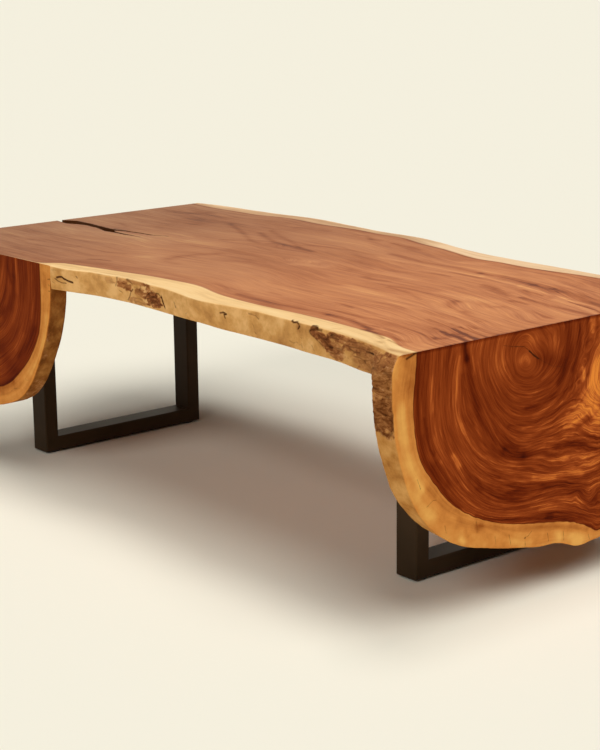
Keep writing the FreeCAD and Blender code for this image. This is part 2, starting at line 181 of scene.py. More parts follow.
# Ring lines of the end panels: ring number, then across and height. The heartwood
# ends at ring 1 and the panel's outline is ring OUTLINE_RING.
OUTLINE_RING = 1.15
RIGHT_RINGS = (
    (1, -354, 451, -355, 427, -358, 400, -361, 369, -359, 346, -355, 315, -343, 277, -317, 242,
     -292, 212, -254, 183, -200, 156, -134, 136, -99, 129, -50, 121, 0, 110, 40, 93, 66, 81,
     110, 98, 170, 128, 228, 178, 268, 245, 290, 320, 297, 390, 296, 447),
    (0.95, -347, 446, -351, 407, -353, 371, -351, 328, -340, 288, -319, 253, -285, 214, -241,
     179, -187, 155, -114, 141, -43, 131, 11, 116, 69, 91),
    (0.8, -322, 446, -324, 409, -327, 373, -327, 342, -319, 303, -298, 268, -276, 235, -250,
     207, -219, 184, -178, 166, -114, 155, -43, 149, 10, 134, 68, 113, 130, 140, 185, 172, 228,
     225, 252, 290, 262, 350, 265, 447),
    (0.74, 12, 156, 62, 145, 108, 158),
    (0.68, -291, 447, -295, 404, -295, 367, -292, 336, -281, 305, -264, 277, -242, 247, -215,
     222, -179, 202, -124, 186, -68, 183, -20, 179, 29, 169, 90, 172, 150, 190, 195, 230, 222,
     285, 232, 350, 236, 447),
    (0.58, -260, 448, -268, 409, -271, 376, -267, 337, -251, 306, -229, 277, -202, 255, -166,
     235, -116, 222, -59, 208, -11, 201, 43, 196, 90, 205, 140, 222, 175, 260, 198, 310, 208,
     370, 210, 447),
    (0.5, -251, 447, -251, 413, -235, 369, -208, 327, -181, 290, -153, 262, -121, 249, -89, 250,
     -46, 248, 2, 243, 64, 228, 110, 235, 150, 262, 172, 310, 182, 370, 184, 447),
    (0.4, -219, 445, -222, 408, -213, 375, -190, 337, -163, 309, -127, 290, -90, 283, -52, 286,
     -24, 295, 40, 270, 90, 262, 132, 285, 156, 335, 160, 390, 150, 447),
    (0.36, 5, 322, 16, 350, 22, 380, 36, 405, 48, 300, 95, 290, 130, 315, 144, 352, 138, 395,
     112, 436),
    (0.3, -192, 443, -196, 407, -182, 373, -160, 347, -127, 329, -95, 326, -63, 331, -35, 346,
     -17, 369, -6, 390, 1, 415, 7, 447),
    (0.2, -166, 440, -170, 409, -156, 382, -128, 361, -101, 356, -73, 362, -50, 374, -37, 395,
     -30, 420, -29, 446, 56, 352, 86, 322, 116, 352, 86, 385),
    (0.1, -143, 405, -138, 388, -115, 375, -92, 381, -88, 396, -100, 414),
    (0, -116, 401, 86, 352),
)
FRONT_RINGS = (
    (1, 199, 449, 199, 394, 194, 339, 188, 315, 171, 285, 144, 251, 112, 223, 71, 194, 31, 179,
     -10, 172, -60, 184, -105, 214, -148, 258, -178, 315, -192, 370, -198, 449),
    (0.92, 184, 451, 178, 376, 166, 325, 141, 282, 105, 242, 65, 209, 33, 193, -10, 188),
    (0.8, 159, 451, 152, 372, 137, 321, 108, 277, 68, 244, 36, 224, -10, 214, -75, 245, -120,
     300, -150, 370, -158, 449),
    (0.66, 130, 452, 123, 368, 104, 322, 72, 285, 40, 266, -10, 252, -70, 285, -108, 340, -128,
     449),
    (0.5, 101, 452, 94, 374, 72, 331, 44, 307, -10, 292, -60, 320, -92, 375, -100, 449),
    (0.38, 79, 449, 66, 390, 48, 358, 5, 328, -45, 350, -72, 400, -78, 449),
    (0.12, 15, 415, -10, 388, -35, 415), (0, -10, 412),
)

# Rings drawn as one unbroken line, which are read at even steps along it
OPEN_RINGS = (0.38, 0.5, 0.58, 0.66, 0.68, 0.8, 0.92, 0.95, 1, 1.15)
RING_STEP = 22.0

# Streaks of the top: strength (dark is negative), reach across, places
TOP_STREAKS = (
    (-1, 9, 84, 202, 133, 198, 206, 186, 280, 186, 345, 182),
    (-1.5, 8, 348, 181, 390, 184, 444, 174, 492, 167),
    (-0.9, 3, 395, 191, 450, 184, 500, 176, 540, 168), (-1.2, 7, 492, 165, 540, 158),
    (-1.1, 12, 548, 160, 590, 152, 622, 138, 655, 118, 690, 105, 738, 84),
    (-0.9, 4, 556, 148, 572, 142), (-0.5, 4, 300, 150, 340, 147, 380, 143),
    (-0.4, 4, 285, 118, 330, 118), (-0.8, 7, 430, 104, 450, 100, 472, 94),
    (-1.1, 4, 512, 118, 530, 112, 552, 108, 570, 102), (-0.7, 7, 476, 74, 500, 68, 530, 60),
    (0.8, 5, 500, 84, 520, 78, 544, 70),
    (-1, 6, 556, 66, 590, 57, 622, 50, 645, 45, 690, 42, 738, 34),
    (-1, 6, 564, 32, 584, 32, 602, 30), (0.8, 6, 98, 163, 193, 167, 298, 157, 371, 160),
    (1, 5, 369, 162, 381, 160, 425, 150, 482, 141), (-0.6, 6, 262, 115, 334, 116),
    (-0.7, 6, 439, 86, 515, 77), (-0.6, 6, -115, 152, -70, 170, -6, 179, 71, 175),
    (-0.8, 7, -5, 294, 42, 286, 88, 276), (-0.7, 6, -137, 310, -112, 320, -66, 291),
    (-0.7, 6, -74, 298, -47, 296), (1.5, 5, 482, 141, 520, 133, 556, 124, 590, 117, 617, 111),
    (0.7, 8, 600, 108, 625, 100, 650, 92),
    (1.5, 5, 630, 104, 660, 100, 690, 94, 722, 80, 738, 72),
    (-1.7, 3, 634, 96, 660, 88, 682, 83, 712, 74, 738, 60),
    (1.4, 6, 606, 93, 640, 83, 672, 76, 704, 64, 730, 54), (0.8, 16, 40, 0, 70, 10, 100, 20),
    (0.6, 14, 250, 240, 280, 250), (0.6, 22, 200, 45, 260, 60, 300, 50),
    (0.6, 12, 430, -5, 500, 0, 545, 5),
    (0.6, 10, 270, -75, 350, -90, 450, -100, 560, -115, 640, -140, 720, -165),
    (-0.7, 5, 330, -30, 385, -42, 415, -53, 450, -70), (-0.6, 9, 230, 5, 260, -5, 290, 5),
    (-0.9, 13, 502, -38, 510, -58, 524, -78), (-0.5, 10, 505, -34, 524, -26, 545, -25),
    (-0.7, 10, 556, -30, 572, -34, 584, -22), (-0.5, 9, 590, -16, 640, -14, 680, -16, 705, -22),
    (-0.5, 10, 535, -84, 556, -88, 572, -90),
    (-0.9, 9, 576, -92, 592, -104, 614, -115, 644, -126),
    (-0.4, 16, 700, -30, 712, -52, 716, -74), (-0.4, 24, 650, -60, 690, -90, 735, -115),
    (-0.5, 4, 520, -128, 560, -136, 620, -150, 680, -172),
    (-0.8, 4, 578, -174, 610, -182, 650, -194, 682, -206), (-0.7, 4, 626, -172, 655, -181),
    (-1.7, 4, 655, -181, 690, -191, 738, -204), (-0.6, 4, 655, -163, 682, -172),
    (-1.3, 4, 655, -198, 672, -205, 700, -214), (-2.3, 5, 690, -211, 738, -226),
    (1.2, 3, 714, -229, 738, -237), (-0.9, 4, 634, -216, 652, -221, 668, -226),
    (-1.4, 4, 660, -226, 684, -232), (-2.6, 5, 684, -232, 704, -236, 738, -246),
    (1.3, 4, 706, -247, 722, -253, 738, -259), (0.8, 4, 500, -258, 520, -264, 545, -270),
    (0.7, 4, 572, -272, 592, -284), (-1, 6, 684, -264, 692, -271, 697, -258),
    (-0.5, 4, 90, -235, 150, -240, 200, -236), (-0.6, 4, 150, -155, 250, -158, 300, -162),
    (-0.6, 4, 370, -190, 420, -196), (-0.6, 4, 225, -212, 260, -216),
    (-0.6, 4, 430, -235, 520, -240, 600, -250, 690, -268),
    (-0.9, 6, 200, -264, 300, -273, 380, -265, 440, -267),
    (-1.5, 6, 440, -267, 500, -272, 540, -282, 572, -296),
    (-0.9, 5, 572, -300, 620, -309, 680, -316), (-0.5, 4, 390, -192, 405, -195, 425, -199),
    (-1.2, 5, -275, -250, -260, -240, -232, -232),
    (-0.5, 10, -560, -200, -500, -190, -420, -185), (-0.7, 5, -607, 54, -585, 46, -563, 38),
    (-0.8, 7, -436, 219, -375, 190, -300, 150, -229, 110, -196, 103),
    (-0.9, 7, -293, 186, -228, 153, -172, 129, -122, 125, -77, 119, -44, 114),
    (-0.7, 7, -301, 221, -223, 186, -165, 162, -95, 127),
    (-0.6, 8, -297, 285, -281, 301, -247, 306, -216, 308), (-0.8, 8, -282, 78, -258, 87),
    (-0.7, 14, -170, -142, -181, -104, -171, -67, -157, -40), (-0.6, 9, -149, -157, -116, -159),
    (-0.6, 7, -419, -180, -382, -182, -330, -181, -278, -166),
    (0.7, 18, -315, 23, -244, 27, -201, 17), (0.7, 14, 1, 22, 44, 43),
    (0.5, 14, -232, -169, -208, -132), (-0.5, 9, -626, 249, -585, 291),
    (-0.5, 7, -495, 159, -474, 165), (0.5, 28, -300, -100, -240, -130, -200, -165),
    (-0.6, 7, -190, 345, -150, 348, -60, 345, 0, 333),
    (-0.4, 16, -700, 290, -600, 280, -500, 280),
    (-1.6, 3, 563, -305, 591, -306, 614, -315, 634, -324),
    (-1.6, 3, 647, -326, 667, -333, 690, -341), (-0.7, 3, 525, -331, 538, -328),
    (-0.8, 4, 645, -344, 655, -348), (-1, 8, 697, -371, 715, -369, 735, -367),
)

# Tones of the end panels' faces: strength, reach, then across and height
RIGHT_TONES = (
    (0.9, 8, -130, 402, -118, 406, -110, 398),
    (-0.4, 3, -146, 400, -140, 384, -124, 374, -104, 372),
    (-0.5, 3, -164, 398, -156, 376, -134, 360, -104, 356, -84, 362),
    (0.8, 14, -104, 432, -80, 428, -60, 420), (-0.9, 12, -84, 398, -60, 392, -40, 384),
    (0.5, 20, -205, 440, -190, 415, -180, 400), (-1.4, 9, -163, 262, -146, 255, -122, 248),
    (-0.8, 5, -222, 330, -203, 302, -183, 280, -163, 266),
    (-0.5, 5, -246, 330, -225, 298, -200, 272, -172, 256),
    (-0.9, 6, -119, 247, -72, 248, -16, 246, 11, 241, 39, 230, 64, 221),
    (-0.6, 10, -40, 248, 0, 245, 20, 238), (-2.3, 6, -254, 452, -253, 440, -249, 424),
    (-1.2, 9, -248, 420, -244, 396, -236, 368, -224, 342),
    (-0.7, 3, -258, 400, -256, 375, -247, 345, -232, 318),
    (0.7, 3, -264, 430, -269, 400, -270, 370, -265, 335, -252, 308),
    (0.5, 3, -249, 305, -238, 285, -222, 270, -205, 260),
    (0.5, 3, -236, 425, -232, 410, -234, 398), (0.5, 5, -323, 405, -325, 380, -322, 355),
    (-1, 6, -350, 446, -352, 380, -349, 330, -336, 282, -303, 234, -262, 190),
    (-0.6, 10, -330, 446, -334, 380, -328, 320),
    (-0.9, 2.5, -338, 345, -334, 320, -325, 295, -317, 284),
    (-0.7, 2, -331, 330, -325, 308, -315, 288), (-0.8, 9, -315, 268, -303, 248, -290, 232),
    (1.5, 5, -275, 276, -268, 269, -262, 258),
    (0.6, 3, -303, 272, -282, 256, -262, 236, -245, 215),
    (-0.7, 3, -297, 268, -280, 248, -266, 232), (-0.7, 5, -222, 214, -214, 208),
    (0.7, 3, -169, 219, -127, 207, -83, 199, -44, 196),
    (0.9, 5, -95, 206, -70, 202, -40, 201, -5, 196, 20, 188),
    (0.8, 4, -50, 228, -20, 226, 10, 222, 28, 215), (0.9, 4, -127, 260, -100, 256, -72, 253),
    (1.3, 3, -26, 276, -5, 279, 11, 283, 28, 289),
    (-0.7, 2.5, -116, 324, -93, 322, -44, 330, -11, 341, 12, 357, 28, 380),
    (0.6, 2, -124, 291, -91, 292, -58, 305, -30, 320),
    (-0.7, 2.5, -155, 302, -99, 293, -58, 302, -16, 316, 12, 335, 28, 355),
    (-0.5, 2.5, -100, 340, -60, 346, -34, 360, -16, 382),
    (0.5, 2.5, -20, 296, 10, 312, 34, 336), (0.6, 3, 30, 330, 42, 350, 50, 376),
    (-0.6, 2.5, 44, 300, 50, 330, 58, 352), (0.6, 10, -20, 262, 10, 262, 40, 262),
    (1.7, 20, 64, 400, 52, 372, 46, 340, 52, 300, 60, 280), (1, 22, 20, 310, 34, 330, 46, 350),
    (0.8, 16, 0, 290, 20, 300, 40, 300), (1.6, 5, 17, 366, 20, 358, 22, 349),
    (-0.7, 2.5, 0, 318, 14, 330, 24, 345, 32, 362), (-0.6, 2.5, -10, 300, 14, 312, 30, 330),
    (-0.7, 3, 5, 268, 25, 275, 45, 282, 62, 292), (-0.6, 3, 0, 258, 20, 256, 45, 246, 62, 236),
    (-0.5, 22, -190, 205, -160, 195, -130, 185),
    (-0.8, 9, -72, 186, -30, 180, 10, 170, 28, 163),
    (0.8, 3, -100, 158, -44, 152, 12, 144, 53, 132), (0.6, 3, -80, 148, -60, 150, -40, 146),
    (0.7, 3, 6, 108, 28, 105, 66, 94),
    (-1.3, 4, -225, 168, -190, 155, -140, 145, -90, 137, -50, 131),
    (-1, 6, -60, 133, -36, 128, -10, 121, 12, 113, 40, 101, 66, 86),
    (-1.3, 6, -20, 449, -20, 420, -22, 395, -30, 372, -42, 352),
    (-1, 5, 4, 449, 8, 425, 8, 400, 2, 385, -8, 368), (-1, 5, 24, 449, 26, 425, 24, 405),
    (-0.9, 4, 48, 449, 50, 430, 50, 412), (0.6, 5, 36, 445, 38, 425),
    (1.1, 8, -384, 370, -377, 312, -367, 282, -354, 258, -341, 236),
    (0.9, 9, -350, 226, -338, 206, -322, 190), (-0.9, 13, -370, 446, -366, 420, -368, 392),
    (-0.9, 7, -328, 234, -314, 220, -287, 195, -262, 175),
    (-0.9, 8, -255, 168, -235, 158, -215, 150), (1.3, 5, -258, 138, -252, 132),
    (-0.9, 5, -248, 148, -243, 140), (-0.9, 4, -226, 154, -222, 144),
    (0.7, 8, -145, 108, -120, 102, -100, 98), (1, 6, -36, 98, -30, 90),
    (-0.6, 6, -20, 104, -2, 98, 18, 94, 34, 92), (1.2, 6, 4, 74, 20, 69),
    (-1, 5, -215, 151, -134, 129, -99, 122, -50, 114, 0, 103, 36, 88),
    (0.9, 8, -30, 92, 0, 84, 30, 76), (-0.5, 7, -75, 112, -55, 108),
)
FRONT_TONES = (
    (-1, 5, 84, 450, 82, 432, 88, 415, 94, 400), (-0.9, 5, 103, 450, 104, 432, 100, 414),
    (-0.8, 9, 104, 410, 96, 380, 84, 350, 60, 330), (0.7, 7, 113, 449, 116, 410, 112, 385),
    (0.7, 16, 60, 410, 50, 390, 48, 370), (0.5, 12, 108, 358, 104, 340, 96, 325),
    (-0.2, 4, 192, 449, 191, 380, 184, 325, 160, 280, 120, 235, 60, 195),
    (0.9, 8, 216, 345, 203, 300, 180, 262, 150, 232, 126, 212),
    (0.7, 7, 130, 300, 118, 285, 100, 268), (-0.7, 9, 170, 320, 150, 290, 110, 255),
    (-0.7, 20, 45, 255, 75, 230, 100, 215), (0.5, 5, 170, 440, 170, 380, 162, 340),
    (-1.3, 10, 36, 174, 60, 183, 84, 196), (-0.8, 5, 214, 432, 216, 420, 214, 408),
)

# Checks and cracks in the faces of the end panels: strength, reach, across and height
RIGHT_CHECKS = (
    (0.75, 3, -374, 443, -364, 446, -355, 450),
    (0.55, 1.3, -169, 432, -147, 427, -122, 423, -110, 414, -99, 405),
    (0.55, 1.8, -110, 414, -99, 405, -90, 399),
    (0.42, 1.4, -99, 405, -77, 392, -55, 381, -30, 376), (0.5, 1.4, -293, 168, -290, 156),
    (0.5, 1.2, -332, 206, -318, 214, -312, 213), (0.45, 1.4, -225, 160, -222, 150, -223, 142),
    (0.45, 1.4, -182, 126, -180, 114), (0.45, 1.4, -113, 112, -112, 92),
    (0.5, 1.3, -115, 108, -106, 110, -98, 116), (0.5, 1.4, -22, 100, -20, 84),
    (0.5, 1.4, -352, 254, -345, 238), (0.5, 1.3, -150, 122, -146, 106),
    (0.5, 1.3, -60, 104, -57, 92), (0.5, 1.3, 40, 80, 44, 70), (0.4, 1.3, 150, 108, 154, 94),
    (0.4, 1.3, 250, 190, 262, 176),
)
FRONT_CHECKS = (
    (0.6, 1.8, 227, 423, 236, 424), (0.6, 1.8, 227, 412, 236, 409),
    (0.6, 1.8, 228, 400, 236, 402), (0.4, 2.2, 128, 214, 134, 210, 142, 212),
    (0.4, 2.2, 74, 178, 88, 186, 104, 188),
)

# Dark marks of the near edge: strength, reach, then x and down from the top
EDGE_MARKS = (
    (1, 2.4, -248, 20, -240, 18, -232, 17, -226, 20, -216, 23, -205, 25),
    (0.7, 1.7, -254, 23, -243, 27, -232, 29, -222, 28), (0.6, 2, -193, 12, -191, 15),
    (0.35, 2.8, -262, 7, -247, 5, -223, 4), (0.3, 1.8, -163, 2, -110, 1, -40, 1, 10, 1),
    (0.5, 2, -86, 3, -86, 10, -90, 18), (0.3, 1.6, -114, 27, -106, 26),
    (0.5, 1.6, -80, 25, -72, 28), (0.6, 2, -40, 18, -47, 25, -52, 34, -58, 40),
    (0.4, 1.8, -70, 9, -58, 13, -46, 12), (0.4, 1.8, -66, 18, -56, 20, -46, 21),
    (0.5, 2.2, -58, 3, -48, 5, -40, 9), (0.6, 1.8, 0, 31, 9, 22, 20, 15, 35, 13),
    (0.7, 2.2, 42, 13, 50, 13, 59, 18, 63, 26, 68, 33), (0.6, 1.8, 9, 28, 22, 24, 37, 20),
    (0.5, 1.6, 20, 32, 34, 29, 46, 24), (0.4, 1.8, -34, 33, -22, 32, -8, 33),
    (0.4, 1.6, -36, 13, -20, 16, -4, 18), (0.5, 2.6, 101, 18, 103, 23, 106, 28),
    (0.35, 1.8, 135, 38, 138, 34, 147, 30),
    (0.8, 2, 248, 15, 256, 13, 264, 15, 258, 17, 259, 23),
    (0.6, 1.7, 317, 7, 326, 7, 336, 8, 345, 12),
    (0.45, 1.6, 327, 21, 332, 25, 334, 33, 339, 38),
    (0.8, 2, 432, 1, 438, 3, 446, 1, 451, 3, 455, 7, 451, 11),
    (0.4, 2, 428, 34, 440, 36, 448, 33, 458, 36), (0.4, 2.4, 462, 34, 465, 39),
    (0.4, 1.8, 482, 29, 490, 32, 496, 39), (0.4, 2, 458, 23, 462, 25),
    (0.7, 2, 486, 1, 494, 1, 500, 2), (0.7, 2.6, 481, 10, 486, 7, 496, 5, 512, 4),
    (0.5, 2.2, 484, 13, 496, 18, 510, 23, 522, 30),
    (0.6, 3, 506, 12, 524, 18, 534, 24, 544, 25), (0.4, 1.8, 536, 38, 546, 40, 556, 40),
    (0.6, 1.8, 528, 10, 545, 10, 561, 10), (0.6, 1.8, 592, 18, 606, 21, 622, 19),
    (0.5, 1.6, 575, 14, 592, 15, 626, 12, 664, 13), (0.4, 1.6, 560, 27, 572, 25, 580, 29),
    (0.4, 1.6, 636, 28, 652, 24, 676, 22, 692, 20), (0.4, 1.6, 622, 34, 640, 32, 652, 36),
    (0.4, 1.6, 664, 32, 684, 27, 700, 24), (0.4, 2.5, 722, 14, 726, 28, 724, 44),
    (0.5, 2.2, 703, 22, 706, 26), (0.6, 1.8, 60, 14, 64, 24, 68, 36),
    (0.5, 1.7, 14, 36, 28, 33, 42, 30), (0.45, 1.6, 16, 18, 28, 20, 44, 20),
    (0.45, 1.6, -104, 10, -98, 12, -92, 12), (0.45, 1.6, -34, 40, -20, 38, -2, 40),
    (0.4, 1.6, -176, 40, -170, 42), (0.4, 1.6, -150, 36, -146, 39),
    (0.4, 1.6, -262, 30, -256, 32), (0.5, 1.6, 538, 26, 556, 24, 574, 22),
    (0.5, 1.6, 532, 33, 548, 34, 566, 31), (0.5, 1.6, 584, 8, 604, 7, 618, 4),
    (0.5, 1.6, 606, 27, 622, 26, 640, 30), (0.45, 1.6, 640, 15, 662, 12, 694, 15),
    (0.45, 1.6, 660, 36, 676, 31, 694, 28), (0.45, 1.6, 648, 40, 660, 42, 676, 39),
    (0.5, 1.8, 712, 16, 716, 30, 714, 46), (0.5, 1.8, 730, 20, 732, 36, 730, 54),
)

# The same on the near side of the right panel, with x and height
RIGHT_SIDE_MARKS = (
    (0.8, 2.2, 690, 397, 698, 396, 706, 396),
    (0.5, 4.5, 692, 352, 698, 334, 712, 326, 726, 328, 734, 338, 735, 362),
    (0.5, 3, 698, 366, 705, 362), (0.6, 3, 722, 388, 728, 387), (0.5, 4, 718, 424, 731, 420),
    (0.4, 3, 712, 376, 714, 368),
)

# Bark left on the near side, and on the far side: strength, x, down, reach along and
# down, tilt. A negative strength thins what the rows before it laid.
BARK = (
    (0.35, -105, 9, 13, 8, 5), (0.55, -30, 4, 58, 4.5, 0), (0.75, -62, 14, 24, 9, 6),
    (0.6, 14, 9, 10, 5, 0), (0.95, 31, 25, 33, 14, 4), (0.7, -16, 20, 20, 9, 0),
    (0.45, -24, 38, 30, 8, 0), (1, 500, 12, 22, 7, 18), (1, 528, 21, 24, 11, 26),
    (0.62, 552, 27, 32, 17, 14), (0.75, 560, 8, 34, 7, 0), (0.72, 606, 12, 44, 12, 2),
    (-0.5, 598, 32, 22, 9, 0), (0.6, 660, 24, 62, 24, 0), (0.7, 714, 36, 32, 44, 0),
    (0.95, 714, 92, 32, 34, 0),
)
FAR_BARK = (
    (0.8, -560, 24, 110, 16, 4), (0.7, -310, 20, 70, 18, -6), (0.9, -40, 26, 130, 14, 3),
    (0.6, 240, 22, 90, 14, -4), (0.9, 520, 25, 110, 17, 2), (0.85, 700, 60, 40, 60, 0),
)

# Bark under the right panel: strength, across, depth, reach across and deep, tilt
UNDER_BARK = (
    (0.8, -60, 28, 90, 14, 0), (0.9, 90, 22, 80, 16, 0),
)

# Bark on the front panel's right side: strength, y and down, reaches, tilt
FRONT_BARK = (
    (0.5, -339, 142, 4, 15, -12), (0.3, -336, 182, 7, 14, -18), (0.35, -322, 262, 20, 30, -20),
)

# Places where the top's grain closes round itself: x, y, reach along and across, lift
EYES = (
    (60, 10, 110, 26, 0.045), (-170, 130, 80, 28, -0.05), (-90, 60, 60, 20, 0.03),
    (-560, -120, 120, 30, 0.03), (-300, -60, 90, 30, 0.03),
)

# How far the top's grain drifts at the right end: amount, where it starts, then the
# grain number that drifts most and its reach. Where the log's centre lies across.
FAR_DRIFT = (0.15, 350, 0.7, 0.32)
NEAR_DRIFT = (0.05, 380, 0.28, 0.2)
PITH = -60.0
PITH_PULL = 0.10
TOP_WAVE = 0.012
TOP_WAVE_SIZE = (260, 90)

# The tip of the closed figure near the right end
VEE_X = 470.0
VEE_Y = -55.0
VEE_SLOPE = 0.1
VEE_LIFT = 0.05
VEE_RUN = 110.0
VEE_REACH = 42.0

# How much darker the glued arris at the right end, the line before the far
# sapwood, the far sapwood and the left part of the near sapwood are
ARRIS = 1.6
FAR_LINE = 1.2
FAR_DULL = 1.15
NEAR_DULL = 0.3

# Where these lie: how far from the arris it begins and is darkest, the line's place
# and reach in the sapwood, where the sapwood counts from, and the x between which
# the far and the near side grow dull
ARRIS_SPAN = (4, 1)
FAR_LINE_SPAN = (-4, 4)
SAP_START = -3
FAR_DULL_SPAN = (140, -60)
NEAR_DULL_SPAN = (20, -120)

# Tone along the near live edge: x and tone
NEAR_EDGE_TONE = places(
    -267, 0.2, -180, 0.6, -60, 0.6, 60, 0.2, 330, 0, 520, -0.3, 738, -0.6)

# How far the noise bends the right panel's rings, where that starts and stops across,
# and the size of its waves
RIGHT_CURL = 0.006
CURL_SPAN = (-90, 10)
CURL_SIZE = (17, 12)

# About how wide the sapwood is, as millimetres for one ring number
SAP_REACH = 300.0

# Live edges: height and size of their swells, of their ripples and of the bark's
# crust, the depth of dark marks, and the most that a panel's edge stands proud
SWELL = 1.1
SWELL_SIZE = (60, 60, 28)
RIPPLE = 0.35
RIPPLE_SIZE = (13, 13, 9)
CRUST = 0.9
CRUST_SIZE = (7, 7, 5)
MARK_DEPTH = 1.6
MOST_RISE = 1.2

# Bark patches: how ragged they are, and where they fade out and are whole
RAGGED = 0.45
RAGGED_SIZE = (11, 6)
PATCH_SPAN = (1.2, 0.72)

# Depths over which the live edge's colour begins, the least sapwood behind it, and the
# painted shade on the split's walls and on their rim, which is SKIN deep
SLAB_EDGE_SPAN = (0.3, 2.0)
PANEL_EDGE_SPAN = (1.2, 3.6)
LIVE_SAP = 30
SPLIT_SHADE = 0.97
SPLIT_RIM_SHADE = 0.55
SKIN = 0.2

# Where the right panel's bark and marks change from near to far and to below: y, y, z
NEAR_SIDE = -250
FAR_SIDE = 200
LOW_SIDE = 130


# Meshing

# Levels below the slab's top, and levels of a panel behind its face and before its back
DOWNS = (0, 0.3, 0.9, 1.8, 3, *np.arange(4.6, 42, 1.7), 43.4, 44.6, 45.5, 46)
FACE_LEVELS = (0, 0.3, 0.9, 1.8, 3)
BACK_LEVELS = (5, 3, 1.4, 0.4, 0)

# Points round each level of the slab
SLAB_PARTS = {"near": 620, "mitre": 148, "far": 320, "left_far": 55, "split": 150,
              "left_near": 55, "cut": 96}
CUT_GAP = 0.2
SPLIT_ROUGH = 0.8
SPLIT_ROUGH_SIZE = (9, 6)
OUTLINE_COUNT = 900

# Sizes of the triangles, and how near their points may come to the rims and to extra
# points, as shares of that size
TOP_SPACING = 6.0
UNDER_SPACING = 14.0
RIM_SHARE = 0.55
EXTRA_SHARE = 0.45
EXTRA_GAP = 0.8
WELD = 1e-5

# Extra points along thin strokes: the widest strokes that get them, their step, also as
# a share of the reach, their places across, and the grid that keeps them apart
TOP_THIN = 5.0
PANEL_THIN = 3.0
THIN_STEP = 1.5
THIN_SHARE = 0.6
THIN_SIDES = (-1.1, 0, 1.1)
THIN_GRID = 0.7
THIN_SHIFT = 0.013

# The ring field's unit and how closely it follows the lines, the most points that are
# worked on at once, and the angle from which an edge is sharp
FIELD_UNIT = 100
FIELD_SLACK = 1e-4
CHUNK = 2000
SHARP = 38.0


# Curves and fields

def cubic(knots, values, at):
    """A smooth curve through values at knots, read at the places at."""
    knots = np.asarray(knots, float)
    values = np.asarray(values, float)
    steps = np.diff(knots)
    slopes = np.diff(values, axis=0) / steps[:, None]
    system = np.eye(len(knots))
    turns = np.zeros(values.shape)
    for i in range(1, len(knots) - 1):
        system[i, i - 1:i + 2] = steps[i - 1], 2 * (steps[i - 1] + steps[i]), steps[i]
        turns[i] = 6 * (slopes[i] - slopes[i - 1])
    bends = np.linalg.solve(system, turns)
    i = np.clip(np.searchsorted(knots, at) - 1, 0, len(knots) - 2)
    u = (at - knots[i])[:, None]
    h = steps[i][:, None]
    return (values[i] + u * (slopes[i] - h * (2 * bends[i] + bends[i + 1]) / 6)
            + u ** 2 * bends[i] / 2 + u ** 3 * (bends[i + 1] - bends[i]) / (6 * h))


def lengths(points):
    """How far along a chain of straight runs each of its points lies."""
    return np.r_[0, np.cumsum(np.linalg.norm(np.diff(points, axis=0), axis=1))]


def smooth_line(points, count):
    """Points spread evenly along a smooth curve through the given ones."""
    run = lengths(points)
    return cubic(run, points, np.linspace(0, run[-1], count))


def evenly(points, count):
    """Points spread evenly along a chain of straight runs."""
    points = np.asarray(points, float)
    run = lengths(points)
    at = np.linspace(0, run[-1], count)
    return np.stack([np.interp(at, run, column) for column in points.T], 1)


def between_ends(start, stop, count):
    """Points spread evenly between two others, without them."""
    return evenly([start, stop], count + 2)[1:-1]


def wander(points, size, octaves=3):
    """Smooth noise of about -1 to 1 at the points, with waves of the given size."""
    points = points / size
    if points.shape[1] == 2:
        points = np.c_[points, np.zeros(len(points))]
    return np.array([noise.fractal(Vector(p), 1.0, 2.0, octaves) for p in points])


def smoothstep(low, high, value):
    """Eases from 0 to 1 as value goes from low to high."""
    t = np.clip((value - low) / (high - low), 0, 1)
    return t * t * (3 - 2 * t)


def bell(value, middle, reach):
    """1 at the middle, and near 0 from about twice the reach on."""
    return np.exp(-((value - middle) / reach) ** 2)


def gap_to_line(points, line):
    """The distance from each point to a chain of straight runs."""
    best = np.full(len(points), np.inf)
    for a, b in zip(line[:-1], line[1:]):
        run = b - a
        t = np.clip((points - a) @ run / max(run @ run, 1e-9), 0, 1)
        best = np.minimum(best, np.linalg.norm(points - a - t[:, None] * run, axis=1))
    return best


def nearest(points, others):
    """The distance from each point to the nearest of the others."""
    return np.concatenate([
        np.linalg.norm(points[i:i + CHUNK, None] - others[None], axis=2).min(axis=1)
        for i in range(0, len(points), CHUNK)])


def strokes(points, table):
    """The sum of soft strokes at the points."""
    total = np.zeros(len(points))
    for strength, reach, *line in table:
        total += strength * bell(gap_to_line(points, places(*line)), 0, reach)
    return total


def patches(points, table):
    """Ragged patches at (x, down) points, from 0 to the patch's strength."""
    rough = RAGGED * wander(points, RAGGED_SIZE, 4)
    most = np.zeros(len(points))
    for strength, x, down, along, deep, tilt in table:
        c, s = math.cos(math.radians(tilt)), math.sin(math.radians(tilt))
        d = points - (x, down)
        r = np.hypot((c * d[:, 0] + s * d[:, 1]) / along, (c * d[:, 1] - s * d[:, 0]) / deep)
        cover = smoothstep(*PATCH_SPAN, r + rough)
        if strength < 0:
            most *= 1 + strength * cover
        else:
            most = np.maximum(most, strength * cover)
    return most


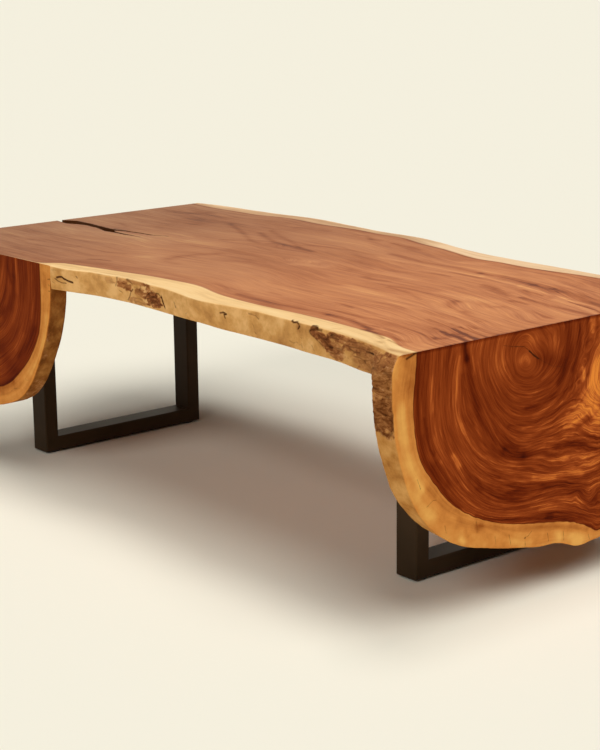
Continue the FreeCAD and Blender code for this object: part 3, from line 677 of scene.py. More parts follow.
def ring_field(table, outline):
    """A smooth field whose levels follow the drawn ring lines."""
    knots, values = [], []
    for ring, *line in (*table, (OUTLINE_RING, *outline.ravel())):
        line = places(*line)
        if ring in OPEN_RINGS:
            line = smooth_line(line, max(len(line), int(lengths(line)[-1] / RING_STEP)))
        knots.append(line)
        values += [ring] * len(line)
    knots = np.concatenate(knots) / FIELD_UNIT

    def kernel(gap):
        return np.where(gap > 0, gap ** 2 * np.log(np.maximum(gap, 1e-9)), 0)

    gaps = np.linalg.norm(knots[:, None] - knots[None], axis=2)
    flat = np.c_[np.ones(len(knots)), knots]
    system = np.block([[kernel(gaps) + FIELD_SLACK * np.eye(len(knots)), flat],
                       [flat.T, np.zeros((3, 3))]])
    weights = np.linalg.solve(system, np.r_[values, np.zeros(3)])

    def field(points):
        found = []
        for i in range(0, len(points), CHUNK):
            part = points[i:i + CHUNK] / FIELD_UNIT
            gap = np.linalg.norm(part[:, None] - knots[None], axis=2)
            found.append(kernel(gap) @ weights[:-3]
                         + np.c_[np.ones(len(part)), part] @ weights[-3:])
        return np.concatenate(found)

    return field


# Filling loops with triangles

def thin_points(table, widest):
    """Points along the thin strokes, close enough for a mesh to show them."""
    found = []
    for _, reach, *line in table:
        if reach <= widest:
            line = places(*line)
            step = max(THIN_STEP, THIN_SHARE * reach)
            line = evenly(line, int(lengths(line)[-1] / step) + 2)
            along = np.gradient(line, axis=0)
            aside = np.c_[-along[:, 1], along[:, 0]] / np.linalg.norm(along, axis=1)[:, None]
            found += [line + shift * reach * aside for shift in THIN_SIDES]
    return (np.unique(np.round(np.concatenate(found) / THIN_GRID), axis=0) * THIN_GRID
            + THIN_SHIFT)


def inside(points, loop):
    """Which points lie in a closed loop."""
    found = np.zeros(len(points), bool)
    x, y = points.T
    for (ax, ay), (bx, by) in zip(loop, np.roll(loop, -1, axis=0)):
        if ay != by:
            found ^= ((ay > y) != (by > y)) & (x < (bx - ax) * (y - ay) / (by - ay) + ax)
    return found


def fill(loop, spacing, holes=(), extra=()):
    """Points to add inside a loop and the triangles that fill it. The triangles
    number the loop's points first, then the holes', then the added ones."""
    def clear(points):
        return inside(points, loop) & ~np.any([inside(points, hole) for hole in holes], axis=0)

    low, high = loop.min(0), loop.max(0)
    row = spacing * math.sqrt(3) / 2
    ys = np.arange(low[1] + row / 2, high[1], row)
    grid = np.array([(x, y) for i, y in enumerate(ys)
                     for x in np.arange(low[0] + spacing * (0.5 + i % 2) / 2, high[0], spacing)])
    rims = np.concatenate([loop, *holes])
    keep = clear(grid) & (nearest(grid, rims) > RIM_SHARE * spacing)
    if len(extra):
        keep &= nearest(grid, extra) > EXTRA_SHARE * spacing
        extra = extra[inside(extra, loop) & (nearest(extra, rims) > EXTRA_GAP)]
    grid = np.concatenate([grid[keep], extra]) if len(extra) else grid[keep]
    edges = []
    for rim in (loop, *holes):
        start = len(edges)
        edges += [(start + i, start + (i + 1) % len(rim)) for i in range(len(rim))]
    points = np.concatenate([rims, grid])
    found = delaunay_2d_cdt([Vector(p) for p in points], edges, [], 0, WELD)
    origin = [ids[0] if ids else -1 for ids in found[3]]
    triangles = np.array([[origin[i] for i in face] for face in found[2] if len(face) == 3])
    triangles = triangles[(triangles >= 0).all(axis=1)]
    return grid, triangles[clear(points[triangles].mean(axis=1))]


def walls(levels, around):
    """The faces between loops that lie level by level."""
    return [(a + k, a + (k + 1) % around, a + around + (k + 1) % around, a + around + k)
            for a in range(0, (levels - 1) * around, around) for k in range(around)]


def cap(triangles, start, around, base):
    """A loop's triangles, numbered for a mesh where the loop starts at start and
    the points after the loop's at base."""
    return [tuple(i + start if i < around else i - around + base for i in face)
            for face in triangles.tolist()]


# Wood pieces

def make_piece(name, verts, faces, figure, marks, node, slot, material):
    """A wood piece on the table's body that stands for one CAD node."""
    mesh = bpy.data.meshes.new(name)
    verts = np.clip(np.asarray(verts) * MM, *np.array(cad_box))
    mesh.from_pydata(verts.tolist(), [], faces)
    for label, values in (("figure", figure), ("marks", marks)):
        layer = mesh.attributes.new(label, "FLOAT_VECTOR", "POINT")
        layer.data.foreach_set("vector", np.stack(values, 1).astype(np.float32).ravel())
    mesh.materials.append(material)
    mesh.update()
    mesh.shade_smooth()
    piece = bpy.data.objects.new(name, mesh)
    bpy.context.collection.objects.link(piece)
    bpy.context.view_layer.objects.active = piece
    bpy.ops.object.mode_set(mode="EDIT")
    bpy.ops.mesh.select_all(action="SELECT")
    bpy.ops.mesh.normals_make_consistent(inside=False)
    bpy.ops.object.mode_set(mode="OBJECT")
    mesh.set_sharp_from_angle(angle=math.radians(SHARP))
    piece.modifiers.new("even", "WEIGHTED_NORMAL").keep_sharp = True
    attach(piece, "table")
    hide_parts(node)


def round_over(down, radius):
    """How far a rounded arris stands back at a depth below it."""
    rest = max(radius - down, 0.0)
    return radius - math.sqrt(radius ** 2 - rest ** 2)


def relief(points, bark):
    """How far the live edge stands proud at a place, from its bark and wear."""
    swell = SWELL * wander(points, SWELL_SIZE, 2)
    return (swell + RIPPLE * wander(points, RIPPLE_SIZE)
            + bark * (CRUST + CRUST * wander(points, CRUST_SIZE)))


def arris(place, end):
    """How much darker the glued arris at the end makes a place."""
    far, near = ARRIS_SPAN
    return ARRIS * smoothstep(end - far, end - near, place)


# The slab

def edge_depth(table, x, down):
    """How far a live edge stands from the middle line."""
    top, middle, under = cubic(table[:, 0], table[:, 1:], x).T
    t = down / SLAB
    return top * (1 - t) * (1 - 2 * t) + 4 * middle * t * (1 - t) + under * t * (2 * t - 1)


def top_figure(points):
    """The grain's number across the top, 0 to 1 in heartwood, how far a point is
    into the sapwood in mm, and the tone of the streaks."""
    x, y, z = points.T
    near = cubic(NEAR_HEART[:, 0], NEAR_HEART[:, 1:], x)[:, 0]
    far = cubic(FAR_HEART[:, 0], FAR_HEART[:, 1:], x)[:, 0]
    near = np.where(x < HEART_START, HEART_CUT, near)
    sap = np.maximum(near - y, y - far)
    grain = (y + PITH_PULL * ((TOP - z) / SLAB) ** 2 * (y - PITH) - near) / (far - near)
    amount, start, number, reach = FAR_DRIFT
    grain += amount * smoothstep(start, RIGHT, x) * bell(grain, number, reach)
    grain += TOP_WAVE * wander(points[:, :2], TOP_WAVE_SIZE, 2)
    for middle_x, middle_y, along, across, lift in EYES:
        grain += lift * np.exp(-((x - middle_x) / along) ** 2 - ((y - middle_y) / across) ** 2)
    amount, start, number, reach = NEAR_DRIFT
    grain += amount * smoothstep(start, RIGHT, x) * bell(grain, number, reach)
    tip = VEE_Y - VEE_SLOPE * (x - VEE_X)
    grain += VEE_LIFT * smoothstep(VEE_X, VEE_X + VEE_RUN, x) * bell(y, tip, VEE_REACH)
    tone = strokes(points[:, :2], TOP_STREAKS) - arris(x, RIGHT)
    tone -= FAR_DULL * ((y > 0) & (sap > SAP_START)) * smoothstep(*FAR_DULL_SPAN, x)
    tone -= FAR_LINE * bell(sap, *FAR_LINE_SPAN) * (y > 0)
    tone -= NEAR_DULL * ((y < 0) & (sap > SAP_START)) * smoothstep(*NEAR_DULL_SPAN, x)
    return grain, sap, tone


def slab_loop(down, split):
    """The slab's outline at a depth below its top, in the order of SLAB_PARTS."""
    z = TOP - down
    end = RIGHT - down * RIGHT_THICKNESS / SLAB
    back = round_over(down, TOP_ROUND) + round_over(SLAB - down, UNDER_ROUND)
    count = SLAB_PARTS["near"]
    x = FRONT_END + CUT_GAP + np.linspace(0, 1, count) * (end - FRONT_END - CUT_GAP)
    near = np.c_[x, -edge_depth(NEAR_EDGE, x, down), np.full(count, z)]
    flat = np.c_[x, np.full(count, down)]
    near[:, 1] -= (relief(near, patches(flat, BARK)) - back
                   - MARK_DEPTH * np.minimum(strokes(flat, EDGE_MARKS), 1))
    count = SLAB_PARTS["far"]
    x = LEFT + np.linspace(0, 1, count)[::-1] * (end - LEFT)
    far = np.c_[x, edge_depth(FAR_EDGE, x, down), np.full(count, z)]
    bark = patches(np.c_[x, np.full(count, down)], FAR_BARK)
    far[:, 1] = np.minimum(far[:, 1] + relief(far, bark), HALF_WIDTH) - back
    mitre = between_ends(near[-1], far[0], SLAB_PARTS["mitre"])
    spread = 1 - (1 - SPLIT_UNDER_SHARE) * down / SLAB
    crack = np.c_[split[:, 0], SPLIT_MIDDLE + split[:, 1] * spread, np.full(len(split), z)]
    cut_y = FRONT_FACE + down * FRONT_THICKNESS / SLAB
    corner = (LEFT, cut_y, z)
    return np.concatenate([
        near, mitre, far, between_ends(far[-1], crack[0], SLAB_PARTS["left_far"]), crack,
        between_ends(crack[-1], corner, SLAB_PARTS["left_near"]),
        evenly([corner, (FRONT_END, cut_y, z)], SLAB_PARTS["cut"])])


def swell_down(x):
    """How far the underside dips into the inner corner of the right panel."""
    t = np.clip((x - (RIGHT - RIGHT_THICKNESS - CORNER_FILLET)) / CORNER_FILLET, 0, 1)
    return CORNER_FILLET * (1 - np.sqrt(1 - t ** 2 * FILLET_END))


def insert_rims():
    """The rims of the holes for the inserts in the slab's underside."""
    turn = np.linspace(0, 2 * math.pi, HOLE_SIDES + 1)[:-1]
    rims = []
    for name in ("left_slab_inserts", "right_slab_inserts"):
        low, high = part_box(name)
        x, y = ((low[i] + high[i]) / 2 / MM for i in (0, 1))
        rims += [np.c_[x + INSERT_HOLE * np.cos(turn), y + shift + INSERT_HOLE * np.sin(turn)]
                 for shift in INSERT_SHIFTS]
    return rims


def slab():
    """The slab's points, faces, figure and marks."""
    split = evenly(SPLIT, SLAB_PARTS["split"])
    split[1:-1, 1] += SPLIT_ROUGH * wander(split[1:-1], SPLIT_ROUGH_SIZE, 2)
    loops = np.array([slab_loop(down, split) for down in DOWNS])
    loops[-1, :, 2] -= swell_down(loops[-1, :, 0])
    levels, around = loops.shape[:2]
    holes = insert_rims()
    rims = np.concatenate(holes)
    top_points, top_faces = fill(loops[0, :, :2], TOP_SPACING,
                                 extra=thin_points(SPLIT_TIPS + TOP_STREAKS, TOP_THIN))
    under_points, under_faces = fill(loops[-1, :, :2], UNDER_SPACING, holes)
    parts = [loops.reshape(-1, 3),
             np.c_[top_points, np.full(len(top_points), TOP)],
             np.c_[rims, np.full(len(rims), UNDER)],
             np.c_[under_points, UNDER - swell_down(under_points[:, 0])],
             np.c_[rims, np.full(len(rims), UNDER + INSERT_DEPTH)]]
    verts = np.concatenate(parts)
    starts = np.cumsum([0, *map(len, parts)]).tolist()
    faces = (walls(levels, around) + cap(top_faces, 0, around, starts[1])
             + cap(under_faces, (levels - 1) * around, around, starts[2]))
    for h in range(len(holes)):
        rim, end = ([starts[part] + h * HOLE_SIDES + i for i in range(HOLE_SIDES)]
                    for part in (2, 4))
        faces += [*zip(rim, rim[1:] + rim[:1], end[1:] + end[:1], end), tuple(end)]

    grain, sap, tone = top_figure(verts)
    down = TOP - verts[:, 2]
    part = np.full(len(verts), "flat", dtype="<U9")
    part[:levels * around] = np.tile(np.repeat(list(SLAB_PARTS), list(SLAB_PARTS.values())),
                                     levels)
    near, far, split_wall = (part == name for name in ("near", "far", "split"))
    live = near | far
    edge = np.where(live, smoothstep(*SLAB_EDGE_SPAN, down), 0)
    sap = np.where(live, np.maximum(sap, LIVE_SAP), sap)
    flat = np.c_[verts[:, 0], down]
    bark = np.zeros(len(verts))
    bark[near] = patches(flat[near], BARK) * edge[near]
    bark[far] = patches(flat[far], FAR_BARK) * edge[far]
    ink = np.zeros(len(verts))
    ink[near] = np.minimum(strokes(flat[near], EDGE_MARKS), 1)
    # Painted shade: the split's walls are inked nearly black, and their rim at the top about
    # half as dark.
    ink[split_wall] = np.where(down[split_wall] > SKIN, SPLIT_SHADE, SPLIT_RIM_SHADE)
    top = (down < SKIN) & ~split_wall
    ink[top] = np.maximum(ink[top], np.minimum(strokes(verts[top, :2], SPLIT_TIPS), 1))
    tone[live | split_wall] = 0
    tone[near] = np.interp(verts[near, 0], *NEAR_EDGE_TONE.T)
    return verts, faces, (grain, sap, edge), (tone, bark, ink)


# The half-round panels

def panel_loop(outer, depth, panel):
    """A panel's outline at a depth behind its face: across, height and depth, first
    along its live edge and then back along the mitre."""
    thickness, lift, place = panel["thickness"], panel["lift"], panel["place"]
    count, mitre_count = panel["counts"]
    drop = TOP - panel["outline"][:, 1].min()
    t = depth / thickness
    line = outer.copy()
    line[:, 1] = TOP - (TOP - line[:, 1]) * (drop - t * lift) / drop
    limit = TOP - depth * SLAB / thickness
    first, last = np.nonzero(line[:, 1] < limit - 0.05)[0][[0, -1]]
    ends = []
    for i, j in ((first - 1, first), (last + 1, last)):
        share = (line[i, 1] - limit) / (line[i, 1] - line[j, 1])
        ends.append(line[i] + share * (line[j] - line[i]))
    line = evenly(np.concatenate([[ends[0]], line[first:last + 1], [ends[1]]]), count)
    tangent = np.gradient(line, axis=0)
    tangent /= np.linalg.norm(tangent, axis=1)[:, None]
    inward = np.c_[-tangent[:, 1], tangent[:, 0]]
    middle = np.array([line[:, 0].mean(), line[:, 1].max()])
    inward *= np.sign(((middle - line) * inward).sum(axis=1).mean())
    solid = place(*line.T, np.full(count, depth))
    back = round_over(depth, PANEL_ROUND) + round_over(thickness - depth, UNDER_ROUND)
    rise = np.minimum(relief(solid, panel["bark"](solid))
                      - MARK_DEPTH * np.minimum(panel["marks"](solid), 1), MOST_RISE)
    line += inward * (back - rise)[:, None]
    line[[0, -1], 1] = limit
    line = np.concatenate([line, between_ends(line[-1], line[0], mitre_count)])
    return np.c_[line, np.full(len(line), depth)]


def half_round(panel):
    """A half-round panel's points, faces, figure and marks."""
    thickness, spacing, tones = panel["thickness"], panel["spacing"], panel["tones"]
    outer = smooth_line(panel["outline"], OUTLINE_COUNT)
    depths = (*FACE_LEVELS, *np.arange(5.5, thickness - 6, 2.5),
              *(thickness - back for back in BACK_LEVELS))
    loops = np.array([panel_loop(outer, depth, panel) for depth in depths])
    levels, around = loops.shape[:2]
    flat = loops.reshape(-1, 3)
    faces = walls(levels, around)
    thin = thin_points(panel["checks"] + tones, PANEL_THIN)
    for level, step, extra in ((0, spacing, thin), (levels - 1, 2 * spacing, ())):
        points, triangles = fill(loops[level, :, :2], step, extra=extra)
        faces += cap(triangles, level * around, around, len(flat))
        flat = np.concatenate([flat, np.c_[points, np.full(len(points), depths[level])]])
    verts = panel["place"](*flat.T)

    across, z, depth = flat.T
    grain = ring_field(panel["rings"], panel["outline"])(flat[:, :2])
    curl = smoothstep(*CURL_SPAN, across) * panel["curl"]
    grain += curl * wander(flat[:, :2], CURL_SIZE)
    sap = (grain - 1) * SAP_REACH
    live = np.zeros(len(flat), bool)
    live[:levels * around] = np.tile(np.arange(around) < panel["counts"][0], levels)
    edge = np.where(live, smoothstep(*PANEL_EDGE_SPAN, depth), 0)
    bark = panel["bark"](verts) * edge
    ink = np.where(edge > 0, panel["marks"](verts),
                   strokes(flat[:, :2], panel["checks"]) * (depth < 1))
    tone = strokes(flat[:, :2], tones) - np.where(grain < 1, *panel["dull"])
    if panel["arris"]:
        tone -= arris(z, TOP)
    # The live edge takes the panel's side tone: on the front panel this is painted shade from
    # the slab above.
    tone = np.where(edge > 0, panel["side_shade"], tone)
    return verts, faces, (grain, sap, edge), (tone, bark, np.minimum(ink, 1))


def right_place(across, z, depth):
    return np.c_[RIGHT - depth, across, z]


def front_place(across, z, depth):
    return np.c_[FRONT_MIDDLE + across, FRONT_FACE + depth, z]


def right_side_bark(points):
    """Bark on the right panel, in one with the slab's on both sides."""
    x, y, z = points.T
    flat = np.c_[x, TOP - z]
    low = patches(np.c_[y, RIGHT - x], UNDER_BARK)
    return np.select([y < NEAR_SIDE, y > FAR_SIDE, z < LOW_SIDE],
                     [patches(flat, BARK), patches(flat, FAR_BARK), low], 0.0)


def right_side_marks(points):
    return np.where(points[:, 1] < NEAR_SIDE,
                    strokes(points[:, [0, 2]], RIGHT_SIDE_MARKS), 0)


def front_side_bark(points):
    bark = patches(np.c_[points[:, 1], TOP - points[:, 2]], FRONT_BARK)
    return np.where(points[:, 0] > FRONT_MIDDLE, bark, 0.6 * bark)


def no_marks(points):
    return np.zeros(len(points))


# counts: points along the live edge and along the mitre. arris: whether the glued
# arris shows. dull: how much darker the heartwood and the sapwood of the face are.
# side tone: the live edge's tone, on the front panel a painted shade from the slab above.
RIGHT_PANEL = {
    "outline": RIGHT_OUTLINE, "rings": RIGHT_RINGS, "tones": RIGHT_TONES,
    "checks": RIGHT_CHECKS, "bark": right_side_bark, "marks": right_side_marks,
    "place": right_place, "thickness": RIGHT_THICKNESS, "lift": RIGHT_LIFT,
    "counts": (640, 188), "spacing": 4.2, "curl": RIGHT_CURL, "arris": True,
    "dull": (0.0, 0.0), "side_shade": 0.0,
}
FRONT_PANEL = {
    "outline": FRONT_OUTLINE, "rings": FRONT_RINGS, "tones": FRONT_TONES,
    "checks": FRONT_CHECKS, "bark": front_side_bark, "marks": no_marks,
    "place": front_place, "thickness": FRONT_THICKNESS, "lift": FRONT_LIFT,
    "counts": (400, 108), "spacing": 4.4, "curl": 0.0, "arris": False,
    # The front panel's side tone is painted shade from the slab above.
    "dull": (0.7, 0.35), "side_shade": -1.2,
}


# Materials

# Noise as scale, detail, roughness and distortion: the layers of figure, the mottle of
# sapwood and edges, and the bark's crust with its stretch
LAYER_NOISE = (1.0, 4.0, 0.6)
MOTTLE_NOISE = (26.0, 5.0, 0.62)
CRUST_NOISE = (90.0, 6.0, 0.7, 0.6)
CRUST_STRETCH = (0.5, 1.0, 1.5)

# How much the figure, the live edge and the bark add to the roughness and, with the
# figure's finest layer, to the bump, which has a strength and a depth in metres
ROUGH = {"figure": 0.14, "edge": 0.18, "bark": 0.15}
BUMPS = {"figure": 0.12, "edge": 0.6, "bark": 1.6}
WOOD_BUMP = (0.45, 0.0008)


def tint(red, green, blue):
    """A colour as it looks on screen, turned into the values a shader takes."""
    return tuple(((c / 255 + 0.055) / 1.055) ** 2.4 for c in (red, green, blue)) + (1.0,)


def node(tree, kind, sockets=None, **settings):
    """A shader node with its settings, and its sockets linked or set."""
    made = tree.nodes.new("ShaderNode" + kind)
    for key, value in settings.items():
        setattr(made, key, value)
    for key, value in (sockets or {}).items():
        if isinstance(value, bpy.types.NodeSocket):
            tree.links.new(value, made.inputs[key])
        else:
            made.inputs[key].default_value = value
    return made


def calc(tree, operation, *values, clamp=False):
    return node(tree, "Math", dict(enumerate(values)), operation=operation,
                use_clamp=clamp).outputs[0]


def add(tree, *values, clamp=False):
    return calc(tree, "ADD", *values, clamp=clamp)


def times(tree, *values):
    return calc(tree, "MULTIPLY", *values)


def sway(tree, value, weight):
    """Noise turned into a shift to both sides of nothing."""
    return times(tree, calc(tree, "SUBTRACT", value, 0.5), weight)


def vector(tree, operation, a, b):
    key = "Scale" if operation == "SCALE" else 1
    return node(tree, "VectorMath", {0: a, key: b}, operation=operation).outputs[0]


def parted(tree, source):
    return node(tree, "SeparateXYZ", {0: source}).outputs


def blend(tree, factor, a, b, kind="MIX"):
    return node(tree, "Mix", {0: factor, 6: a, 7: b}, data_type="RGBA",
                blend_type=kind).outputs[2]


def between(tree, value, low, high, start=0.0, stop=1.0):
    """Eases from start to stop as value goes from low to high."""
    return node(tree, "MapRange", {0: value, 1: low, 2: high, 3: start, 4: stop},
                interpolation_type="SMOOTHSTEP").outputs[0]


def ramp(tree, value, stops):
    """A colour read from stops of a position and a red, green and blue as on screen."""
    made = node(tree, "ValToRGB", {0: value})
    points = made.color_ramp.elements
    while len(points) < len(stops):
        points.new(0.5)
    for point, (position, *colour) in zip(points, stops):
        point.position = position
        point.color = tint(*colour)
    return made.outputs[0]


def cloud(tree, place, scale, detail=3.0, roughness=0.5, distortion=0.0):
    return node(tree, "TexNoise", {"Vector": place, "Scale": scale, "Detail": detail,
                                   "Roughness": roughness,
                                   "Distortion": distortion}).outputs[0]


def bump(tree, shader, height, strength, distance):
    made = node(tree, "Bump", {"Strength": strength, "Distance": distance, "Height": height})
    tree.links.new(made.outputs[0], shader.inputs["Normal"])


def new_material(name):
    """An empty material, its tree, its shader and the place on the object."""
    material = bpy.data.materials.new(name)
    material.use_nodes = True
    tree = material.node_tree
    tree.nodes.clear()
    shader = node(tree, "BsdfPrincipled")
    node(tree, "OutputMaterial", {0: shader.outputs[0]})
    return material, tree, shader, node(tree, "TexCoord").outputs["Object"]


def heartwood(tree, look, place, grain, tone):
    """The heartwood's colour, and its broad bands, streaks and fine lines as layers of noise
    that all follow the grain. Where the look asks for it, painted sheen darkens and greys it
    towards the left end."""
    wavy = cloud(tree, place, look["wave_scale"], 2.0)
    moved = add(tree, grain,
                calc(tree, "MULTIPLY_ADD", wavy, look["wave"], -look["wave"] / 2))
    layers = [cloud(tree, vector(tree, "ADD", vector(tree, "MULTIPLY", place, along),
                                 vector(tree, "SCALE", across, moved)), *LAYER_NOISE)
              for along, across in look["layers"]]
    parts = [sway(tree, layer, weight) for layer, weight in zip(layers, look["weights"])]
    axis, *span = look["busy"]
    along = node(tree, "VectorMath", {0: place, 1: axis}, operation="DOT_PRODUCT").outputs[1]
    busy = between(tree, calc(tree, "ABSOLUTE", along), *span)
    value = add(tree, parts[1], add(tree, parts[2], parts[3]))
    value = add(tree, times(tree, value, busy), parts[0])
    value = times(tree, value, between(tree, grain, *look["calm"], 0.4, 1.0))
    value = add(tree, add(tree, value, times(tree, tone, look["tone"])), 0.5)
    colour = ramp(tree, value, look["heart"])
    # Painted sheen: the heartwood is darkened and greyed towards the left end.
    if "far_sheen_tint" in look:
        far = add(tree, parted(tree, place)[0],
                  times(tree, cloud(tree, place, 3.0, 2.0), 0.3))
        colour = blend(tree, between(tree, far, 0.75, -0.75), colour, look["far_sheen_tint"],
                       "MULTIPLY")
    return colour, layers


def sapwood(tree, look, place, layers, mottle, sap, tone, colour):
    """Lays the sapwood on, with a thin dark line where the heartwood ends, and where the look
    asks for it, painted sheen that greys the far sapwood.
    """
    limit = add(tree, sap, sway(tree, layers[1], look["jitter"]))
    line = times(tree, between(tree, limit, -look["line"], 0.0),
                 between(tree, limit, 1.5, 0.5))
    colour = blend(tree, times(tree, line, look["line_mix"]), colour, look["line_colour"])
    value = times(tree, tone, look["sap_tone"])
    for part, weight in zip((layers[0], layers[1], mottle), look["sap_weights"]):
        value = add(tree, value, times(tree, part, weight))
    pale = ramp(tree, value, look["sap"])
    # Painted sheen: the sapwood on the far side is greyed.
    if "far_sap_sheen" in look:
        far = between(tree, parted(tree, place)[1], 0.1, 0.25)
        pale = blend(tree, far, pale, look["far_sap_sheen"], "MULTIPLY")
    return blend(tree, between(tree, limit, -look["soft"], 1.2), colour, pale)


def live_edge(tree, look, mottle, edge, tone, colour):
    """Lays on the sapwood that was weathered under its bark."""
    skin = ramp(tree, add(tree, mottle, times(tree, tone, look["edge_tone"])), look["edge"])
    return blend(tree, times(tree, edge, 0.9), colour, skin)


def bark_and_ink(tree, look, mottle, crust, bark, ink, colour):
    """Lays on the bark that is left, and the dark marks, checks and cracks, which also carry the
    painted shade on the split's walls.
    """
    patchy = add(tree, bark, sway(tree, mottle, 1.3))
    cover = times(tree, between(tree, patchy, 0.05, 0.75), between(tree, bark, 0.0, 0.3))
    depth = add(tree, crust, times(tree, calc(tree, "SUBTRACT", 0.7, bark), 0.25))
    colour = blend(tree, cover, colour, ramp(tree, depth, look["bark"]))
    ragged = add(tree, ink, sway(tree, crust, 0.8))
    drawn = times(tree, between(tree, ragged, 0.15, 0.85), between(tree, ink, 0.02, 0.3))
    return blend(tree, drawn, colour, look["ink"])


def wood(name, look):
    """Wood that reads its figure and marks from the mesh."""
    material, tree, shader, place = new_material(name)
    (grain, sap, edge), (tone, bark, ink) = (
        parted(tree, node(tree, "Attribute", attribute_name=label).outputs["Vector"])
        for label in ("figure", "marks"))
    mottle = cloud(tree, place, *MOTTLE_NOISE)
    crust = cloud(tree, vector(tree, "MULTIPLY", place, CRUST_STRETCH), *CRUST_NOISE)
    colour, layers = heartwood(tree, look, place, grain, tone)
    colour = sapwood(tree, look, place, layers, mottle, sap, tone, colour)
    colour = live_edge(tree, look, mottle, edge, tone, colour)
    colour = bark_and_ink(tree, look, mottle, crust, bark, ink, colour)
    tree.links.new(colour, shader.inputs["Base Color"])

    rough = add(tree, times(tree, layers[1], ROUGH["figure"]), look["rough"])
    rough = add(tree, rough, times(tree, edge, ROUGH["edge"]))
    rough = add(tree, rough, times(tree, bark, ROUGH["bark"]), clamp=True)
    tree.links.new(rough, shader.inputs["Roughness"])
    shader.inputs["Specular IOR Level"].default_value = look["gloss"]
    height = add(tree, times(tree, layers[-1], BUMPS["figure"]),
                 times(tree, times(tree, crust, bark), BUMPS["bark"]))
    height = add(tree, height, times(tree, times(tree, mottle, edge), BUMPS["edge"]))
    bump(tree, shader, height, *WOOD_BUMP)
    return material


def finish(name, noise, stops, rough, metal=0.0, gloss=0.5, relief=None, stretch=None):
    """A finish whose colour, and roughness if it has two, follow one noise. relief is
    the scale and detail of the bump's own noise, its strength and its distance."""
    material, tree, shader, place = new_material(name)
    if stretch:
        place = vector(tree, "MULTIPLY", place, stretch)
    value = cloud(tree, place, *noise)
    tree.links.new(ramp(tree, value, stops), shader.inputs["Base Color"])
    if len(rough) == 2:
        tree.links.new(between(tree, value, 0.3, 0.7, *rough), shader.inputs["Roughness"])
    else:
        shader.inputs["Roughness"].default_value = rough[0]
    shader.inputs["Metallic"].default_value = metal
    shader.inputs["Specular IOR Level"].default_value = gloss
    if relief:
        scale, detail, strength, distance = relief
        bump(tree, shader, cloud(tree, place, scale, detail), strength, distance)
    return material


# How the woods look. wave: how far noise of wave_scale bends the grain. layers: noise
# per metre along the axes and per grain number, and weights: their strengths. busy: the
# axis along which the figure strengthens, from where to where and how much. calm: the
# same by grain number. heart, sap, edge, bark: colours by rising value. jitter, soft:
# how ragged and soft the sapwood's border is. line: width of the dark line before it.
# tone, sap_tone, edge_tone: how strongly the drawn tones act.
TOP_LOOK = {
    "wave_scale": 5.0, "wave": 0.012, "calm": (-9.0, -8.0),
    "layers": (((2.2, 0.0, 1.2), (0.0, 6.0, 0.0)), ((5.0, 0.0, 3.0), (0.0, 42.0, 0.0)),
               ((13.0, 0.0, 8.0), (0.0, 150.0, 0.0)), ((30.0, 0.0, 20.0), (0.0, 420.0, 0.0))),
    "weights": (0.80, 0.42, 0.38, 0.24), "tone": 0.19,
    "busy": ((1.0, 0.0, 0.0), 0.2, 0.55, 1.0, 1.5),
    "heart": ((0.14, 104, 42, 12), (0.33, 163, 88, 44), (0.50, 190, 116, 69),
              (0.67, 206, 133, 82), (0.88, 230, 166, 100)),
    # The far tints on the next line are painted sheen: the heartwood darker and greyer towards
    # the left end, the sapwood greyer on the far side.
    "far_sheen_tint": (0.56, 0.67, 0.85, 1.0), "far_sap_sheen": (0.93, 0.95, 1.22, 1.0),
    "sap": ((0.24, 196, 146, 92), (0.36, 220, 174, 114), (0.50, 245, 201, 138),
            (0.68, 252, 216, 158)),
    "sap_tone": 0.22, "sap_weights": (0.4, 0.5, 0.1), "jitter": 6.0, "line": 8.0,
    "line_colour": tint(146, 88, 54), "line_mix": 0.25, "soft": 4.0,
    "edge": ((0.28, 168, 108, 50), (0.48, 208, 149, 80), (0.66, 236, 182, 116)),
    "edge_tone": 0.10,
    "bark": ((0.26, 70, 32, 12), (0.42, 130, 74, 38), (0.58, 176, 114, 64),
             (0.76, 214, 156, 104)),
    "ink": tint(80, 42, 16), "rough": 0.42, "gloss": 0.05,
}
PANEL_LOOK = {
    "wave_scale": 9.0, "wave": 0.022, "calm": (-0.02, 0.16),
    "layers": (((0.0, 4.0, 4.0), (8.0, 0.0, 0.0)), ((0.0, 9.0, 9.0), (34.0, 0.0, 0.0)),
               ((0.0, 15.0, 15.0), (110.0, 0.0, 0.0)), ((0.0, 30.0, 30.0), (280.0, 0.0, 0.0))),
    "weights": (0.60, 0.42, 0.42, 0.36), "tone": 0.15,
    "busy": ((0.0, 0.6, -1.0), 0.46, 0.25, 1.0, 1.6),
    "heart": ((0.10, 66, 16, 3), (0.30, 105, 35, 6), (0.48, 137, 57, 18), (0.57, 156, 70, 26),
              (0.66, 190, 96, 40), (0.88, 240, 142, 56)),
    "sap": ((0.20, 154, 80, 28), (0.48, 213, 137, 64), (0.72, 236, 174, 90)), "sap_tone": 0.14,
    "sap_weights": (0.2, 0.3, 0.5), "jitter": 1.6, "line": 6.0, "line_colour": tint(80, 27, 10),
    "line_mix": 0.55, "soft": 0.6,
    "edge": ((0.14, 92, 52, 20), (0.30, 138, 84, 38), (0.48, 186, 129, 66),
             (0.66, 214, 160, 94)),
    "edge_tone": 0.14,
    "bark": ((0.28, 54, 24, 6), (0.42, 120, 68, 32), (0.56, 168, 110, 62),
             (0.72, 206, 150, 102)),
    "ink": tint(64, 30, 10), "rough": 0.38, "gloss": 0.01,
}

slab_wood = wood("slab_wood", TOP_LOOK)
panel_wood = wood("panel_wood", PANEL_LOOK)
make_piece("slab_dressed", *slab(), "top_slab", "slab_wood", slab_wood)
make_piece("end_panel_dressed", *half_round(RIGHT_PANEL), "right_end_panel", "panel_wood",
           panel_wood)
make_piece("front_panel_dressed", *half_round(FRONT_PANEL), "front_left_panel", "panel_wood",
           panel_wood)

